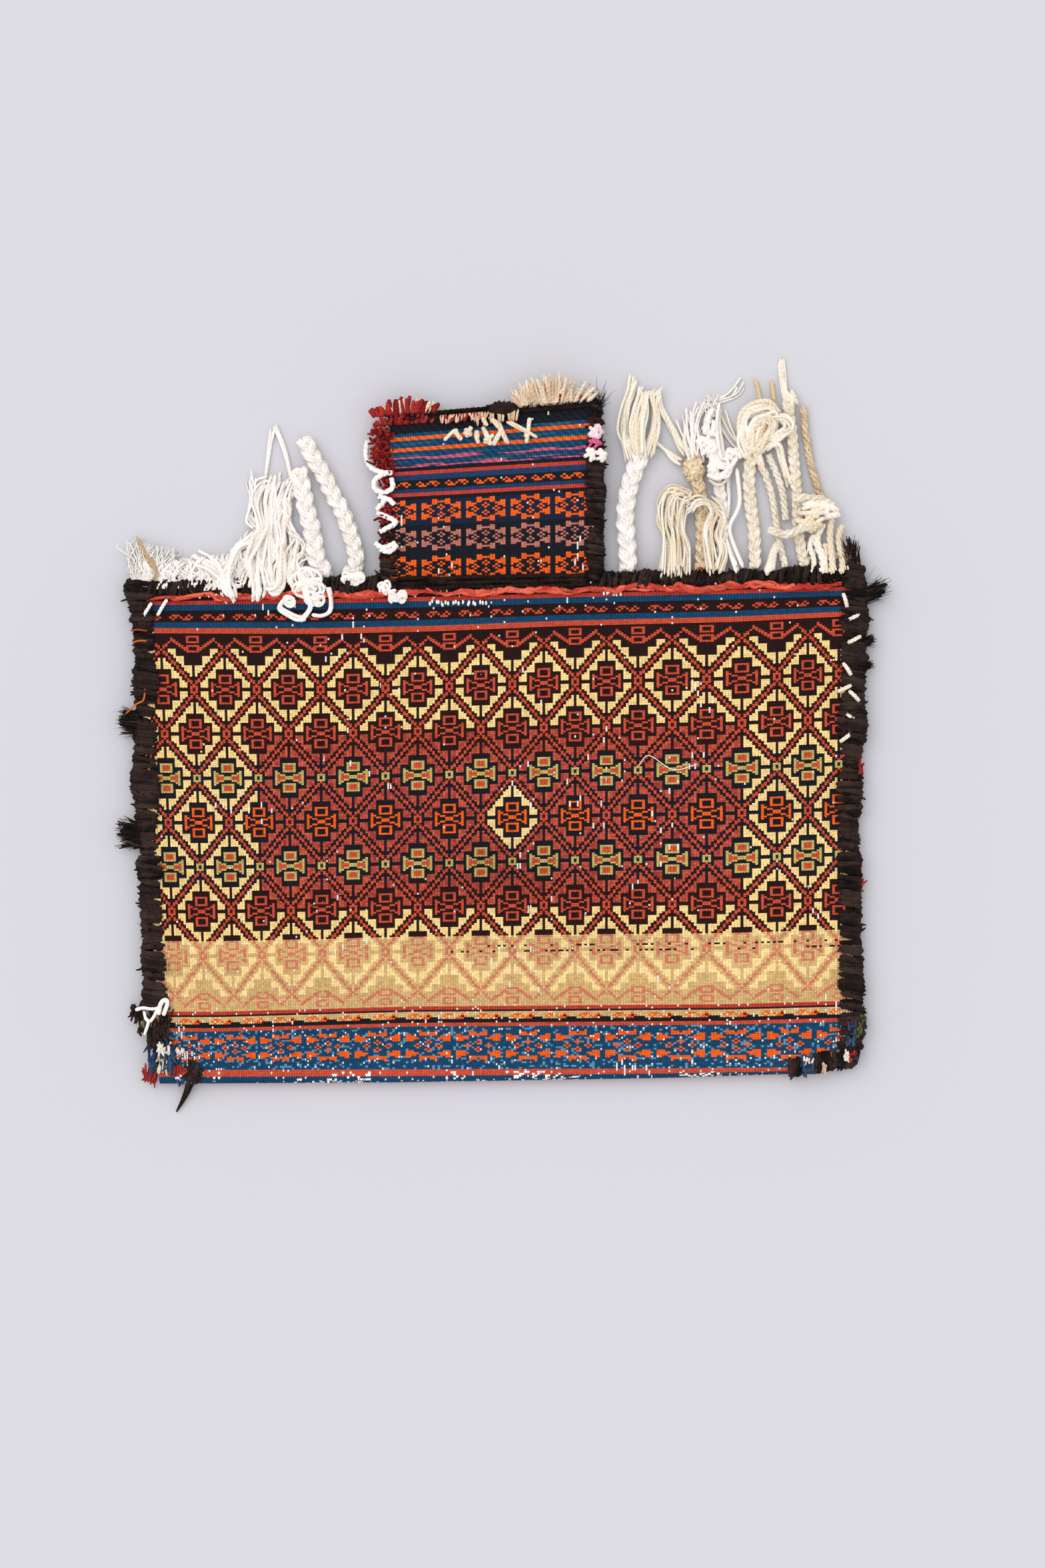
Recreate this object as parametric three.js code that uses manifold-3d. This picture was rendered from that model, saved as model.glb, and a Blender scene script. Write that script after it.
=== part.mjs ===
// A flat-woven salt bag, lying on its back: a wide pocket with a narrow neck.
//
// One woven strip is folded at the bottom, so the front and the back are one piece of cloth.
// Hair yarn is wound over both layers along the sides and shoulders and closes them.
// The warps that the neck leaves out come out of the shoulders as braids and loose fringe.
//
// Millimetres. +Z is up, +Y runs from the bottom fold to the mouth, and +X is to the right of
// someone who looks down on the patterned front. The origin is the middle of the bag's
// footprint, measured without the braids, on the surface that it lies on.
import * as THREE from "three";
import { mergeVertices } from "three/addons/utils/BufferGeometryUtils.js";
import Module from "manifold-3d";

// Cloth
const BODY_WIDTH = 452; // across the shoulders
const BODY_HEIGHT = 308; // bottom fold to the left end of the shoulders
const LEFT_TAPER = 14; // the left edge leans in by this at the bottom
const RIGHT_TAPER = 2; // the right edge likewise
const SHOULDER_RISE = 9; // right end of the shoulders over the left end
const NECK_WIDTH = 129;
const NECK_HEIGHT = 102; // shoulder line to the mouth, at the neck's left edge
const NECK_SHIFT = -2.5; // neck's middle from the body's middle
const MOUTH_RISE = 8; // right end of the mouth over the left end, beyond the shoulders' slope
const LAYER = 2.6; // thickness of the woven cloth
const POCKET_GAP = 5.2; // between the front and the back
const FOLD_STEPS = 10; // flats round the bottom fold

// Bindings: how far each goes out past the cloth's edge, in over the front, and above the front
const SIDE_OUT = 8.5;
const SIDE_REACH = 7;
const SHOULDER_OUT = 6.5;
const SHOULDER_REACH = 4;
const NECK_OUT = 6;
const NECK_REACH = 4.5;
const BINDING_WALL = 2.6;
const LACING_LENGTH = 60; // the neck's left edge is laced with cotton this far down from the mouth
const MOUTH_OUT = 6;
const MOUTH_OVER = 2; // the front lip's binding stands above the front by this
const BACK_MOUTH_OUT = 4.5;
const SIDE_START = 4; // the side bindings start this far above the bottom fold

// Rows that lie on the front
const BASE_ROW_WIDTH = 9;
const BASE_ROW_HEIGHT = 3;
const RED_ROW_RADIUS = 1.3;

// Fringe, tufts, knots and stitches. Places along the mouth are shares of the neck's width.
const FRINGE_HEIGHT = 5;
const LEFT_BUNDLE_LENGTH = 63;
const RIGHT_BUNDLE_LENGTH = 48;
const LOW_FRINGE_LENGTH = 11;
const SHORT_FRINGE_LENGTH = 18;
const MOUTH_TRIM_HEIGHT = 4;
const MOUTH_TRIM_TAPER = 2; // each end of a tuft at the mouth leans in by this
const LACING_BAR = { left: 0.256, right: 0.713, width: 9, height: 2.2, below: 7 };
const MOUTH_CORNER_TUFT = { length: 16, radius: 3.5 };
const LEFT_END_TUFT = { length: 26, radius: 5, inward: 3 };
const RIGHT_CORNER_WOOL = { length: 9, radius: 4, inward: 3 };
const BOTTOM_TUFT = { length: 18.5, radius: 4.5, inward: 30 };
const PINK_KNOT = { radii: [5, 9, 3], outward: 1, below: 16 };
const NECK_KNOT = { radii: [6, 6, 3], inward: 1 };
const HANGING_KNOT_HEIGHT = 4;
const STITCH_RADIUS = 1.1;
const STITCH_LENGTH = 8;
const LASHING_LENGTH = 24;
const LASHING_HEIGHT = 40; // middle of the lashing above the bottom fold
const CLEARANCE = 0.3; // between pieces that touch
const BINDING_SPACE = 0.9; // between the end of a row or a shoulder binding and a side binding

// Braids
const TUBE_SIDES = 8;
const ROOT_STRAIGHT = 2; // a braid leaves its root at right angles for this far
const TALL_BRAID_RADIUS = 3.7;
const THIN_BRAID_RADIUS = 2.8;
const ROPE_RADIUS = 3.2;
const ROPE_SHARE = 0.81; // the tied rope crosses the braid that leaves the right shoulder here

// Worked out from the sizes above
const STACK = 2 * LAYER + POCKET_GAP;
const BINDING_HEIGHT = STACK + CLEARANCE + BINDING_WALL;
const ON_FRONT = STACK + CLEARANCE;
const ON_BINDING = BINDING_HEIGHT + CLEARANCE;
const BODY_LEFT = -BODY_WIDTH / 2;
const BODY_RIGHT = BODY_WIDTH / 2;
const NECK_LEFT = NECK_SHIFT - NECK_WIDTH / 2;
const NECK_RIGHT = NECK_SHIFT + NECK_WIDTH / 2;
const SHOULDER_SLOPE = SHOULDER_RISE / BODY_WIDTH;
const MOUTH_SLOPE = SHOULDER_SLOPE + MOUTH_RISE / NECK_WIDTH;

const FINISHES = {
  weave: { color: 0x7d3a2b, roughness: 0.95, metalness: 0 },
  hair: { color: 0x2a2120, roughness: 0.9, metalness: 0 },
  cotton: { color: 0xe8e2d8, roughness: 0.95, metalness: 0 },
  tanCotton: { color: 0xd9c49c, roughness: 0.95, metalness: 0 },
  redWool: { color: 0xa83432, roughness: 0.95, metalness: 0 },
  pinkWool: { color: 0xd9a0b0, roughness: 0.95, metalness: 0 },
};

const wasm = await Module();
wasm.setup();

const bag = new THREE.Group();
const sewn = new THREE.Group(); // cloth, bindings and trim
const braids = new THREE.Group(); // the braids and what is tied on them
bag.add(sewn, braids);

// Height of the shoulder edge, and of the mouth, at x
function shoulderY(x) {
  return BODY_HEIGHT + SHOULDER_SLOPE * (x - BODY_LEFT);
}

function mouthY(x) {
  return shoulderY(NECK_LEFT) + NECK_HEIGHT + MOUTH_SLOPE * (x - NECK_LEFT);
}

// Place of the left and right edges of the body at a height y
function leftX(y) {
  return BODY_LEFT + LEFT_TAPER * (1 - y / BODY_HEIGHT);
}

function rightX(y) {
  return BODY_RIGHT - RIGHT_TAPER * (1 - y / BODY_HEIGHT);
}

function addPiece(group, name, geometry, finish) {
  const mesh = new THREE.Mesh(geometry, new THREE.MeshStandardMaterial(finish));
  mesh.name = name;
  group.add(mesh);
  return mesh;
}

function toSolid(geometry) {
  const bare = geometry.clone();
  bare.deleteAttribute("normal");
  bare.deleteAttribute("uv");
  const merged = mergeVertices(bare, 1e-3);
  return new wasm.Manifold(
    new wasm.Mesh({
      numProp: 3,
      vertProperties: new Float32Array(merged.attributes.position.array),
      triVerts: new Uint32Array(merged.index.array),
    }),
  );
}

function toGeometry(solid) {
  const mesh = solid.getMesh();
  const geometry = new THREE.BufferGeometry();
  geometry.setAttribute("position", new THREE.BufferAttribute(mesh.vertProperties, 3));
  geometry.setIndex(new THREE.BufferAttribute(mesh.triVerts, 1));
  return geometry;
}

// The cloth: a strip bent like a C, seen from the side, cut to the bag's outline in plan
function wovenCloth() {
  const bend = STACK / 2;
  const hollow = POCKET_GAP / 2;
  const strip = new THREE.Shape();
  const far = mouthY(NECK_RIGHT) + bend;
  strip.moveTo(far, 0);
  strip.lineTo(far, LAYER);
  strip.lineTo(bend, LAYER);
  strip.absarc(bend, bend, hollow, -Math.PI / 2, Math.PI / 2, true);
  strip.lineTo(far, LAYER + POCKET_GAP);
  strip.lineTo(far, STACK);
  strip.lineTo(bend, STACK);
  strip.absarc(bend, bend, bend, Math.PI / 2, -Math.PI / 2, false);
  const across = new THREE.ExtrudeGeometry(strip, {
    depth: 2 * BODY_WIDTH,
    curveSegments: FOLD_STEPS,
    bevelEnabled: false,
  });
  // The profile's axes become Y and Z, and the strip runs along X
  across.applyMatrix4(
    new THREE.Matrix4().makeBasis(
      new THREE.Vector3(0, 1, 0),
      new THREE.Vector3(0, 0, 1),
      new THREE.Vector3(1, 0, 0),
    ),
  );
  across.translate(-BODY_WIDTH, 0, 0);

  const outline = new THREE.Shape();
  outline.moveTo(leftX(-bend), -bend);
  outline.lineTo(rightX(-bend), -bend);
  outline.lineTo(BODY_RIGHT, shoulderY(BODY_RIGHT));
  outline.lineTo(NECK_RIGHT, shoulderY(NECK_RIGHT));
  outline.lineTo(NECK_RIGHT, mouthY(NECK_RIGHT));
  outline.lineTo(NECK_LEFT, mouthY(NECK_LEFT));
  outline.lineTo(NECK_LEFT, shoulderY(NECK_LEFT));
  outline.lineTo(BODY_LEFT, shoulderY(BODY_LEFT));
  const plan = new THREE.ExtrudeGeometry(outline, { depth: 2 * STACK, bevelEnabled: false });
  plan.translate(0, 0, -bend);
  return toGeometry(toSolid(across).intersect(toSolid(plan)));
}

// Section of a binding: a round back outside the edge, and a flange over the front.
// x is outwards from the cloth's edge and y is up.
function bindingSection(out, reach) {
  const half = BINDING_HEIGHT / 2;
  const underside = 0.2; // turn, in radians, left out below so that the foot is flat
  const section = new THREE.Shape();
  section.moveTo(CLEARANCE, 0);
  section.absellipse(0, half, out, half, underside - Math.PI / 2, Math.PI / 2, false);
  section.lineTo(-reach, BINDING_HEIGHT);
  section.lineTo(-reach, ON_FRONT);
  section.lineTo(CLEARANCE, ON_FRONT);
  return section;
}

// Section of a rod in front of a lip, between two heights
function lipSection(out, low, high) {
  const middle = (low + high) / 2;
  const section = new THREE.Shape();
  section.moveTo(CLEARANCE, low);
  section.lineTo(out / 2, low);
  section.absellipse(out / 2, middle, out / 2, (high - low) / 2, -Math.PI / 2, Math.PI / 2, false);
  section.lineTo(CLEARANCE, high);
  return section;
}

// Section of a row that lies on the front, half an oval
function rowSection(width, height) {
  const section = new THREE.Shape();
  section.absellipse(0, ON_FRONT, width / 2, height, 0, Math.PI, false);
  return section;
}

// A straight piece along an edge. The outside is on the left of the way from start to end.
function alongEdge(name, section, start, end, finish) {
  const from = new THREE.Vector3(...start, 0);
  const along = new THREE.Vector3(...end, 0).sub(from);
  const depth = along.length();
  along.normalize();
  const up = new THREE.Vector3(0, 0, 1);
  const outward = new THREE.Vector3().crossVectors(up, along);
  const geometry = new THREE.ExtrudeGeometry(section, { depth, curveSegments: 8, bevelEnabled: false });
  const mesh = addPiece(sewn, name, geometry, finish);
  mesh.quaternion.setFromRotationMatrix(new THREE.Matrix4().makeBasis(outward, up, along));
  mesh.position.copy(from);
}

// A flat bundle of strands: a plan outline given a thickness
function slab(group, name, points, low, height, finish) {
  const outline = new THREE.Shape(points.map(([x, y]) => new THREE.Vector2(x, y)));
  const geometry = new THREE.ExtrudeGeometry(outline, { depth: height, bevelEnabled: false });
  addPiece(group, name, geometry, finish).position.z = low;
}

// A tuft that stands out from a face: a bud turned about its own axis, with a flat root.
// angle is the way it points in plan, from +X.
function bud(group, name, root, angle, length, radius, finish) {
  const profile = new THREE.SplineCurve([
    new THREE.Vector2(radius * 0.8, 0),
    new THREE.Vector2(radius, length * 0.35),
    new THREE.Vector2(radius * 0.6, length * 0.75),
    new THREE.Vector2(0, length),
  ]).getPoints(6);
  profile.unshift(new THREE.Vector2(0, 0));
  profile[profile.length - 1].x = 0;
  const mesh = addPiece(group, name, new THREE.LatheGeometry(profile, TUBE_SIDES), finish);
  mesh.rotation.z = angle - Math.PI / 2;
  mesh.position.set(...root);
}

// A rounded lump, such as a knot
function lump(group, name, centre, radii, finish) {
  const mesh = addPiece(group, name, new THREE.SphereGeometry(1, 10, 8), finish);
  mesh.scale.set(...radii);
  mesh.position.set(...centre);
}

function tube(group, name, points, radius, finish) {
  const path = new THREE.CatmullRomCurve3(points);
  const ring = [];
  for (let i = 0; i < TUBE_SIDES; i++) {
    const turn = (2 * Math.PI * i) / TUBE_SIDES;
    ring.push(new THREE.Vector2(radius * Math.cos(turn), radius * Math.sin(turn)));
  }
  const steps = Math.max(6, Math.round(path.getLength() / (2 * radius)));
  const geometry = new THREE.ExtrudeGeometry(new THREE.Shape(ring), {
    steps,
    extrudePath: path,
    bevelEnabled: false,
  });
  addPiece(group, name, geometry, finish);
}

// Where fringe leaves a shoulder: a share of the way along it, just clear of its binding
function onShoulder(side, share) {
  const inner = side === "left" ? NECK_LEFT : NECK_RIGHT;
  const outer = side === "left" ? BODY_LEFT : BODY_RIGHT;
  const x = inner + share * (outer - inner);
  return [x, shoulderY(x) + SHOULDER_OUT + CLEARANCE];
}

// A braid: it leaves the binding's back at half its height and comes down to lie flat.
// Route points are [across, away from the shoulder, height] from its root.
function braid(name, root, route, radius, finish) {
  const half = BINDING_HEIGHT / 2;
  const points = [[0, 0, half], [0, ROOT_STRAIGHT, half], ...route].map(
    ([dx, dy, z]) => new THREE.Vector3(root[0] + dx, root[1] + dy, Math.max(z, radius + CLEARANCE)),
  );
  tube(braids, name, points, radius, finish);
  return points[points.length - 1];
}

addPiece(sewn, "woven_cloth", wovenCloth(), FINISHES.weave);

// Bindings, clockwise from the bottom left corner
const sideSection = bindingSection(SIDE_OUT, SIDE_REACH);
const shoulderSection = bindingSection(SHOULDER_OUT, SHOULDER_REACH);
const neckSection = bindingSection(NECK_OUT, NECK_REACH);
const leftTop = shoulderY(BODY_LEFT) + SHOULDER_OUT;
const rightTop = shoulderY(BODY_RIGHT) + SHOULDER_OUT;
alongEdge("left_side_binding", sideSection, [leftX(SIDE_START), SIDE_START],
  [leftX(leftTop), leftTop], FINISHES.hair);
alongEdge("right_side_binding", sideSection, [rightX(rightTop), rightTop],
  [rightX(SIDE_START), SIDE_START], FINISHES.hair);

const leftShoulderStart = BODY_LEFT + SIDE_REACH + BINDING_SPACE;
const leftShoulderEnd = NECK_LEFT - NECK_OUT - CLEARANCE;
const rightShoulderStart = NECK_RIGHT + NECK_OUT + CLEARANCE;
const rightShoulderEnd = BODY_RIGHT - SIDE_REACH - BINDING_SPACE;
alongEdge("left_shoulder_binding", shoulderSection, [leftShoulderStart, shoulderY(leftShoulderStart)],
  [leftShoulderEnd, shoulderY(leftShoulderEnd)], FINISHES.hair);
alongEdge("right_shoulder_binding", shoulderSection, [rightShoulderStart, shoulderY(rightShoulderStart)],
  [rightShoulderEnd, shoulderY(rightShoulderEnd)], FINISHES.hair);

const lacingStart = mouthY(NECK_LEFT) - LACING_LENGTH;
const mouthLow = mouthY(NECK_LEFT) - CLEARANCE;
alongEdge("neck_left_binding", neckSection, [NECK_LEFT, shoulderY(NECK_LEFT) + CLEARANCE],
  [NECK_LEFT, lacingStart - CLEARANCE], FINISHES.hair);
alongEdge("neck_left_lacing", neckSection, [NECK_LEFT, lacingStart], [NECK_LEFT, mouthLow],
  FINISHES.cotton);
alongEdge("neck_right_binding", neckSection, [NECK_RIGHT, mouthY(NECK_RIGHT) - CLEARANCE],
  [NECK_RIGHT, shoulderY(NECK_RIGHT) + CLEARANCE], FINISHES.hair);
alongEdge("mouth_front_binding", lipSection(MOUTH_OUT, LAYER + POCKET_GAP, STACK + MOUTH_OVER),
  [NECK_LEFT, mouthY(NECK_LEFT)], [NECK_RIGHT, mouthY(NECK_RIGHT)], FINISHES.hair);
alongEdge("mouth_back_binding", lipSection(BACK_MOUTH_OUT, 0, LAYER),
  [NECK_LEFT, mouthY(NECK_LEFT)], [NECK_RIGHT, mouthY(NECK_RIGHT)], FINISHES.hair);

// Rows on the front: a dark one across the foot of the neck, and a red one under the shoulders
const baseRowLeft = NECK_LEFT + NECK_REACH + CLEARANCE;
const baseRowRight = NECK_RIGHT - NECK_REACH - CLEARANCE;
const baseRowLift = BASE_ROW_WIDTH / 2;
alongEdge("neck_base_row", rowSection(BASE_ROW_WIDTH, BASE_ROW_HEIGHT),
  [baseRowLeft, shoulderY(baseRowLeft) + baseRowLift],
  [baseRowRight, shoulderY(baseRowRight) + baseRowLift], FINISHES.hair);
const redRowLeft = BODY_LEFT + SIDE_REACH + BINDING_SPACE;
const redRowRight = BODY_RIGHT - SIDE_REACH - BINDING_SPACE;
const redRowDrop = SHOULDER_REACH + RED_ROW_RADIUS + CLEARANCE;
const redRowTop = ON_FRONT + 2 * RED_ROW_RADIUS;
alongEdge("red_twined_row", rowSection(2 * RED_ROW_RADIUS, 2 * RED_ROW_RADIUS),
  [redRowLeft, shoulderY(redRowLeft) - redRowDrop],
  [redRowRight, shoulderY(redRowRight) - redRowDrop], FINISHES.redWool);

// Trim in front of the mouth's front lip, as [left, right, reach]. Left and right are shares of the lip.
const MOUTH_TRIM = [
  ["red_mouth_tuft", [-0.046, 0.225, 8], FINISHES.redWool],
  ["brown_mouth_fringe", [0.233, 0.465, 4], FINISHES.tanCotton],
  ["black_mouth_tuft", [0.481, 0.62, 6], FINISHES.hair],
  ["cream_mouth_fan", [0.636, 0.961, 12], FINISHES.cotton],
];
for (const [name, [left, right, reach], finish] of MOUTH_TRIM) {
  const start = NECK_LEFT + left * NECK_WIDTH;
  const end = NECK_LEFT + right * NECK_WIDTH;
  const outline = [
    [start, 0], [end, 0], [end - MOUTH_TRIM_TAPER, reach], [start + MOUTH_TRIM_TAPER, reach],
  ].map(([x, away]) => [x, mouthY(x) + MOUTH_OUT + CLEARANCE + away]);
  slab(sewn, name, outline, LAYER + POCKET_GAP, MOUTH_TRIM_HEIGHT, finish);
}
bud(sewn, "mouth_corner_tuft",
  [NECK_RIGHT + NECK_OUT / 2, mouthY(NECK_RIGHT) + CLEARANCE, BINDING_HEIGHT / 2],
  Math.PI / 2, MOUTH_CORNER_TUFT.length, MOUTH_CORNER_TUFT.radius, FINISHES.hair);
const barLeft = NECK_LEFT + LACING_BAR.left * NECK_WIDTH;
const barRight = NECK_LEFT + LACING_BAR.right * NECK_WIDTH;
slab(sewn, "cream_mouth_lacing",
  [[barLeft, LACING_BAR.width], [barRight, LACING_BAR.width], [barRight, 0], [barLeft, 0]].map(
    ([x, down]) => [x, mouthY(x) - LACING_BAR.below - down]),
  ON_FRONT, LACING_BAR.height, FINISHES.cotton);
lump(sewn, "pink_knot",
  [NECK_RIGHT + PINK_KNOT.outward, mouthY(NECK_RIGHT) - PINK_KNOT.below, ON_BINDING + PINK_KNOT.radii[2]],
  PINK_KNOT.radii, FINISHES.pinkWool);
lump(sewn, "white_neck_knot",
  [NECK_LEFT + NECK_KNOT.inward, shoulderY(NECK_LEFT) - redRowDrop,
    redRowTop + CLEARANCE + NECK_KNOT.radii[2]],
  NECK_KNOT.radii, FINISHES.cotton);

// Fringe along the shoulders: outlines from a root on the shoulder, [along, away from it]
function fringe(name, side, shares, away, lean) {
  const [start, end] = shares.map((share) => onShoulder(side, share));
  slab(sewn, name, [start, end, [end[0] + lean[1], end[1] + away], [start[0] + lean[0], start[1] + away]],
    0, FRINGE_HEIGHT, FINISHES.cotton);
}

bud(sewn, "left_end_tuft", [leftX(leftTop) + LEFT_END_TUFT.inward, leftTop + CLEARANCE, BINDING_HEIGHT / 2],
  Math.PI / 2, LEFT_END_TUFT.length, LEFT_END_TUFT.radius, FINISHES.cotton);
fringe("left_low_fringe", "left", [0.92, 0.71], LOW_FRINGE_LENGTH, [2, -1]);
fringe("left_loose_bundle", "left", [0.7, 0.34], LEFT_BUNDLE_LENGTH, [16, -13]);
const hangRoot = onShoulder("left", 0.34);
const hangOutline = [[-13, -30], [4, -31], [15, -26], [12, -8], [-12, -8]];
slab(sewn, "left_hanging_knot", hangOutline.map(([dx, dy]) => [hangRoot[0] + dx, hangRoot[1] + dy]),
  ON_BINDING, HANGING_KNOT_HEIGHT, FINISHES.cotton);
fringe("right_loose_bundle", "right", [0.27, 0.36], RIGHT_BUNDLE_LENGTH, [-1, 2]);
fringe("right_short_fringe", "right", [0.87, 0.945], SHORT_FRINGE_LENGTH, [0, -1]);
bud(sewn, "right_corner_wool",
  [rightX(rightTop) - RIGHT_CORNER_WOOL.inward, rightTop + CLEARANCE, BINDING_HEIGHT / 2],
  Math.PI / 2, RIGHT_CORNER_WOOL.length, RIGHT_CORNER_WOOL.radius, FINISHES.tanCotton);

// Braids on the left shoulder
braid("left_braid_1", onShoulder("left", 0.258), [
  [-1.5, 5, 6], [-4.9, 10, 5.9], [-6.6, 20.9, 5.9], [-8.7, 31.4, 5.9], [-11.6, 42.3, 5.9],
  [-13.7, 52.8, 5.9], [-16.6, 68, 5.9]], 5.9, FINISHES.cotton);
braid("left_braid_2", onShoulder("left", 0.155), [
  [2.2, 5, 5.8], [3.6, 10, 5.5], [1.6, 20.5, 5.5], [-1.7, 31, 5.5], [-5.9, 41.9, 5.5],
  [-11.8, 52.4, 5.5], [-16.9, 63.4, 5.5], [-23.5, 74.3, 5.5], [-29.9, 86.9, 5.5]], 5.5, FINISHES.cotton);

// Braids on the right shoulder, from the neck outwards
const endA = braid("right_braid_1", onShoulder("right", 0.131), [
  [-0.3, 6, 6.1], [-0.8, 17, 6], [-2, 34, 6], [0.1, 51, 6], [4.5, 65, 6], [8.3, 74, 6]], 6, FINISHES.cotton);
const endC = braid("right_braid_2", onShoulder("right", 0.412), [
  [0.2, 5, 5.5], [0.6, 10, 4.6], [0.8, 24.5, 4.5], [-0.5, 44, 4.5], [-2.6, 58, 4.5]], 4.5, FINISHES.tanCotton);
braid("right_braid_3", onShoulder("right", 0.481), [
  [0.6, 5, 5.2], [1.5, 10, 4.1], [2.5, 24.5, 4], [1.2, 45, 4], [-1.3, 57.7, 4], [-3.4, 72.8, 4],
  [-5.1, 93.8, 4]], 4, FINISHES.cotton);
const endE = braid("right_braid_4", onShoulder("right", 0.62), [
  [0, 5, 5.3], [-0.1, 10, 4.3], [-0.6, 24, 4.2], [-3.2, 43.3, 4.2], [-3.8, 60, 4.2], [-1.9, 73, 4.2]],
4.2, FINISHES.cotton);
braid("right_braid_5", onShoulder("right", 0.734), [
  [-0.8, 5, 4.6], [-1.8, 10, 2.9], [-4.4, 23.8, 2.8], [-7.7, 44.4, 2.8], [-11.5, 57.2, 2.8],
  [-12.9, 62.5, 2.8]], THIN_BRAID_RADIUS, FINISHES.cotton);
const ropeRoot = onShoulder("right", ROPE_SHARE);
const endH = braid("right_braid_7", ropeRoot, [
  [-0.7, 5, 5], [-1.6, 10, 3.8], [-4, 26, 3.7], [-4.4, 43.9, 3.7], [-6.5, 67.2, 3.7], [-7.8, 85, 3.7],
  [-10.9, 105.6, 3.7]], TALL_BRAID_RADIUS, FINISHES.cotton);

// Two thin braids that hang from the tied rope rather than from the shoulder
function tiedBraid(name, route, finish) {
  const height = THIN_BRAID_RADIUS + CLEARANCE;
  const points = route.map(([dx, dy]) => new THREE.Vector3(ropeRoot[0] + dx, ropeRoot[1] + dy, height));
  tube(braids, name, points, THIN_BRAID_RADIUS, finish);
}
tiedBraid("right_braid_6",
  [[-11.5, 29.8], [-12.4, 37.6], [-13.5, 46.4], [-16, 55.5], [-18.7, 61.9], [-23, 71.5]], FINISHES.cotton);
tiedBraid("right_braid_8",
  [[12.2, 43], [9, 49], [3.8, 67.2], [2.2, 77], [0.6, 87], [-0.6, 101.6]], FINISHES.tanCotton);

// Loose ends and knots, placed from the tip of the braid that each belongs to
function looseEnd(name, tip, outline, low, height) {
  slab(braids, name, outline.map(([dx, dy]) => [tip.x + dx, tip.y + dy]), low, height, FINISHES.cotton);
}
looseEnd("right_braid_1_end", endA,
  [[-5, 2.6], [4, 2.6], [12, 16], [13, 28], [-1, 48], [-6, 46], [-10, 26]], 2, 9);
looseEnd("right_braid_2_end", endC,
  [[-6, 12.8], [3.5, 12.8], [4, 28], [3, 36], [-9, 44], [-17, 50], [-19, 46], [-12, 30]], 1, 7);
lump(braids, "right_braid_2_knot", [endC.x - 1, endC.y + 6 + CLEARANCE, 5.5], [6, 6, 5.4], FINISHES.tanCotton);
lump(braids, "right_braid_4_knot", [endE.x + 3.5, endE.y + 14, 7], [8.4, 14, 7], FINISHES.cotton);
bud(braids, "right_braid_7_end", [endH.x - 0.6, endH.y + 2 * CLEARANCE, endH.z], Math.PI / 2 + 0.13, 27,
  TALL_BRAID_RADIUS, FINISHES.cotton);

// The rope tied across the thinner braids, and its loop
const ropeHeight = 2 * (TALL_BRAID_RADIUS + CLEARANCE) + ROPE_RADIUS;
const ropeAt = ([dx, dy, drop = 0]) =>
  new THREE.Vector3(ropeRoot[0] + dx, ropeRoot[1] + dy, ropeHeight - drop);
tube(braids, "right_tied_rope",
  [[-23.3, 23.3], [-11.7, 20.4], [-1.1, 24.7], [8.3, 27.5]].map(ropeAt), ROPE_RADIUS, FINISHES.cotton);
tube(braids, "right_tied_loop",
  [[-8, 43], [0, 43.5], [6, 43.2, 0.9], [12, 41.8, 2], [17.8, 37.5, 4]].map(ropeAt), ROPE_RADIUS,
  FINISHES.cotton);

// Tufts of hair on the bindings: [name, side, height on the edge, length, radius]
const SIDE_TUFTS = [
  ["left_side_tuft_upper", "left", 0.73, 7, 6],
  ["left_side_tuft_lower", "left", 0.5, 12, 6],
  ["right_corner_tuft", "right", 0.985, 16, 6],
  ["right_side_tuft_upper", "right", 0.89, 6, 5],
  ["right_side_tuft_lower", "right", 0.84, 5, 5],
];
for (const [name, side, share, length, radius] of SIDE_TUFTS) {
  const y = share * BODY_HEIGHT;
  const out = SIDE_OUT + CLEARANCE;
  const root = side === "left" ? leftX(y) - out : rightX(y) + out;
  bud(sewn, name, [root, y, BINDING_HEIGHT / 2], side === "left" ? Math.PI : 0, length, radius, FINISHES.hair);
}
bud(sewn, "bottom_hair_tuft", [BODY_LEFT + BOTTOM_TUFT.inward, -CLEARANCE, STACK / 2], -Math.PI / 2,
  BOTTOM_TUFT.length, BOTTOM_TUFT.radius, FINISHES.hair);

// Cotton repair stitches over the right binding, as [height on the edge, in from the edge, turn],
// and the lashing of the torn corner on the left
const REPAIR_STITCHES = [
  [0.98, 6, 0.3], [0.945, 1, -0.9], [0.9, 0, 0.2], [0.84, 4.5, 0.8], [0.8, 6, 0.2], [0.785, 0, -0.4],
  [0.743, 2.5, 0.1], [0.7, 5, 0.9]];
function stitch(name, x, y, turn, length) {
  const geometry = new THREE.CapsuleGeometry(STITCH_RADIUS, length, 3, TUBE_SIDES);
  const mesh = addPiece(sewn, name, geometry, FINISHES.cotton);
  mesh.rotation.z = turn;
  mesh.position.set(x, y, ON_BINDING + STITCH_RADIUS);
}
REPAIR_STITCHES.forEach(([share, inward, turn], i) => {
  const y = share * BODY_HEIGHT;
  stitch(`repair_stitch_${i + 1}`, rightX(y) - inward, y, turn, STITCH_LENGTH);
});
stitch("corner_lashing", leftX(LASHING_HEIGHT) + SIDE_REACH / 2, LASHING_HEIGHT, 0.4, LASHING_LENGTH);

// Stand the bag on the middle of its footprint
bag.updateMatrixWorld(true);
const footprint = new THREE.Box3().setFromObject(sewn, true).getCenter(new THREE.Vector3());
bag.position.set(-footprint.x, -footprint.y, 0);

export default bag;
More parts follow.
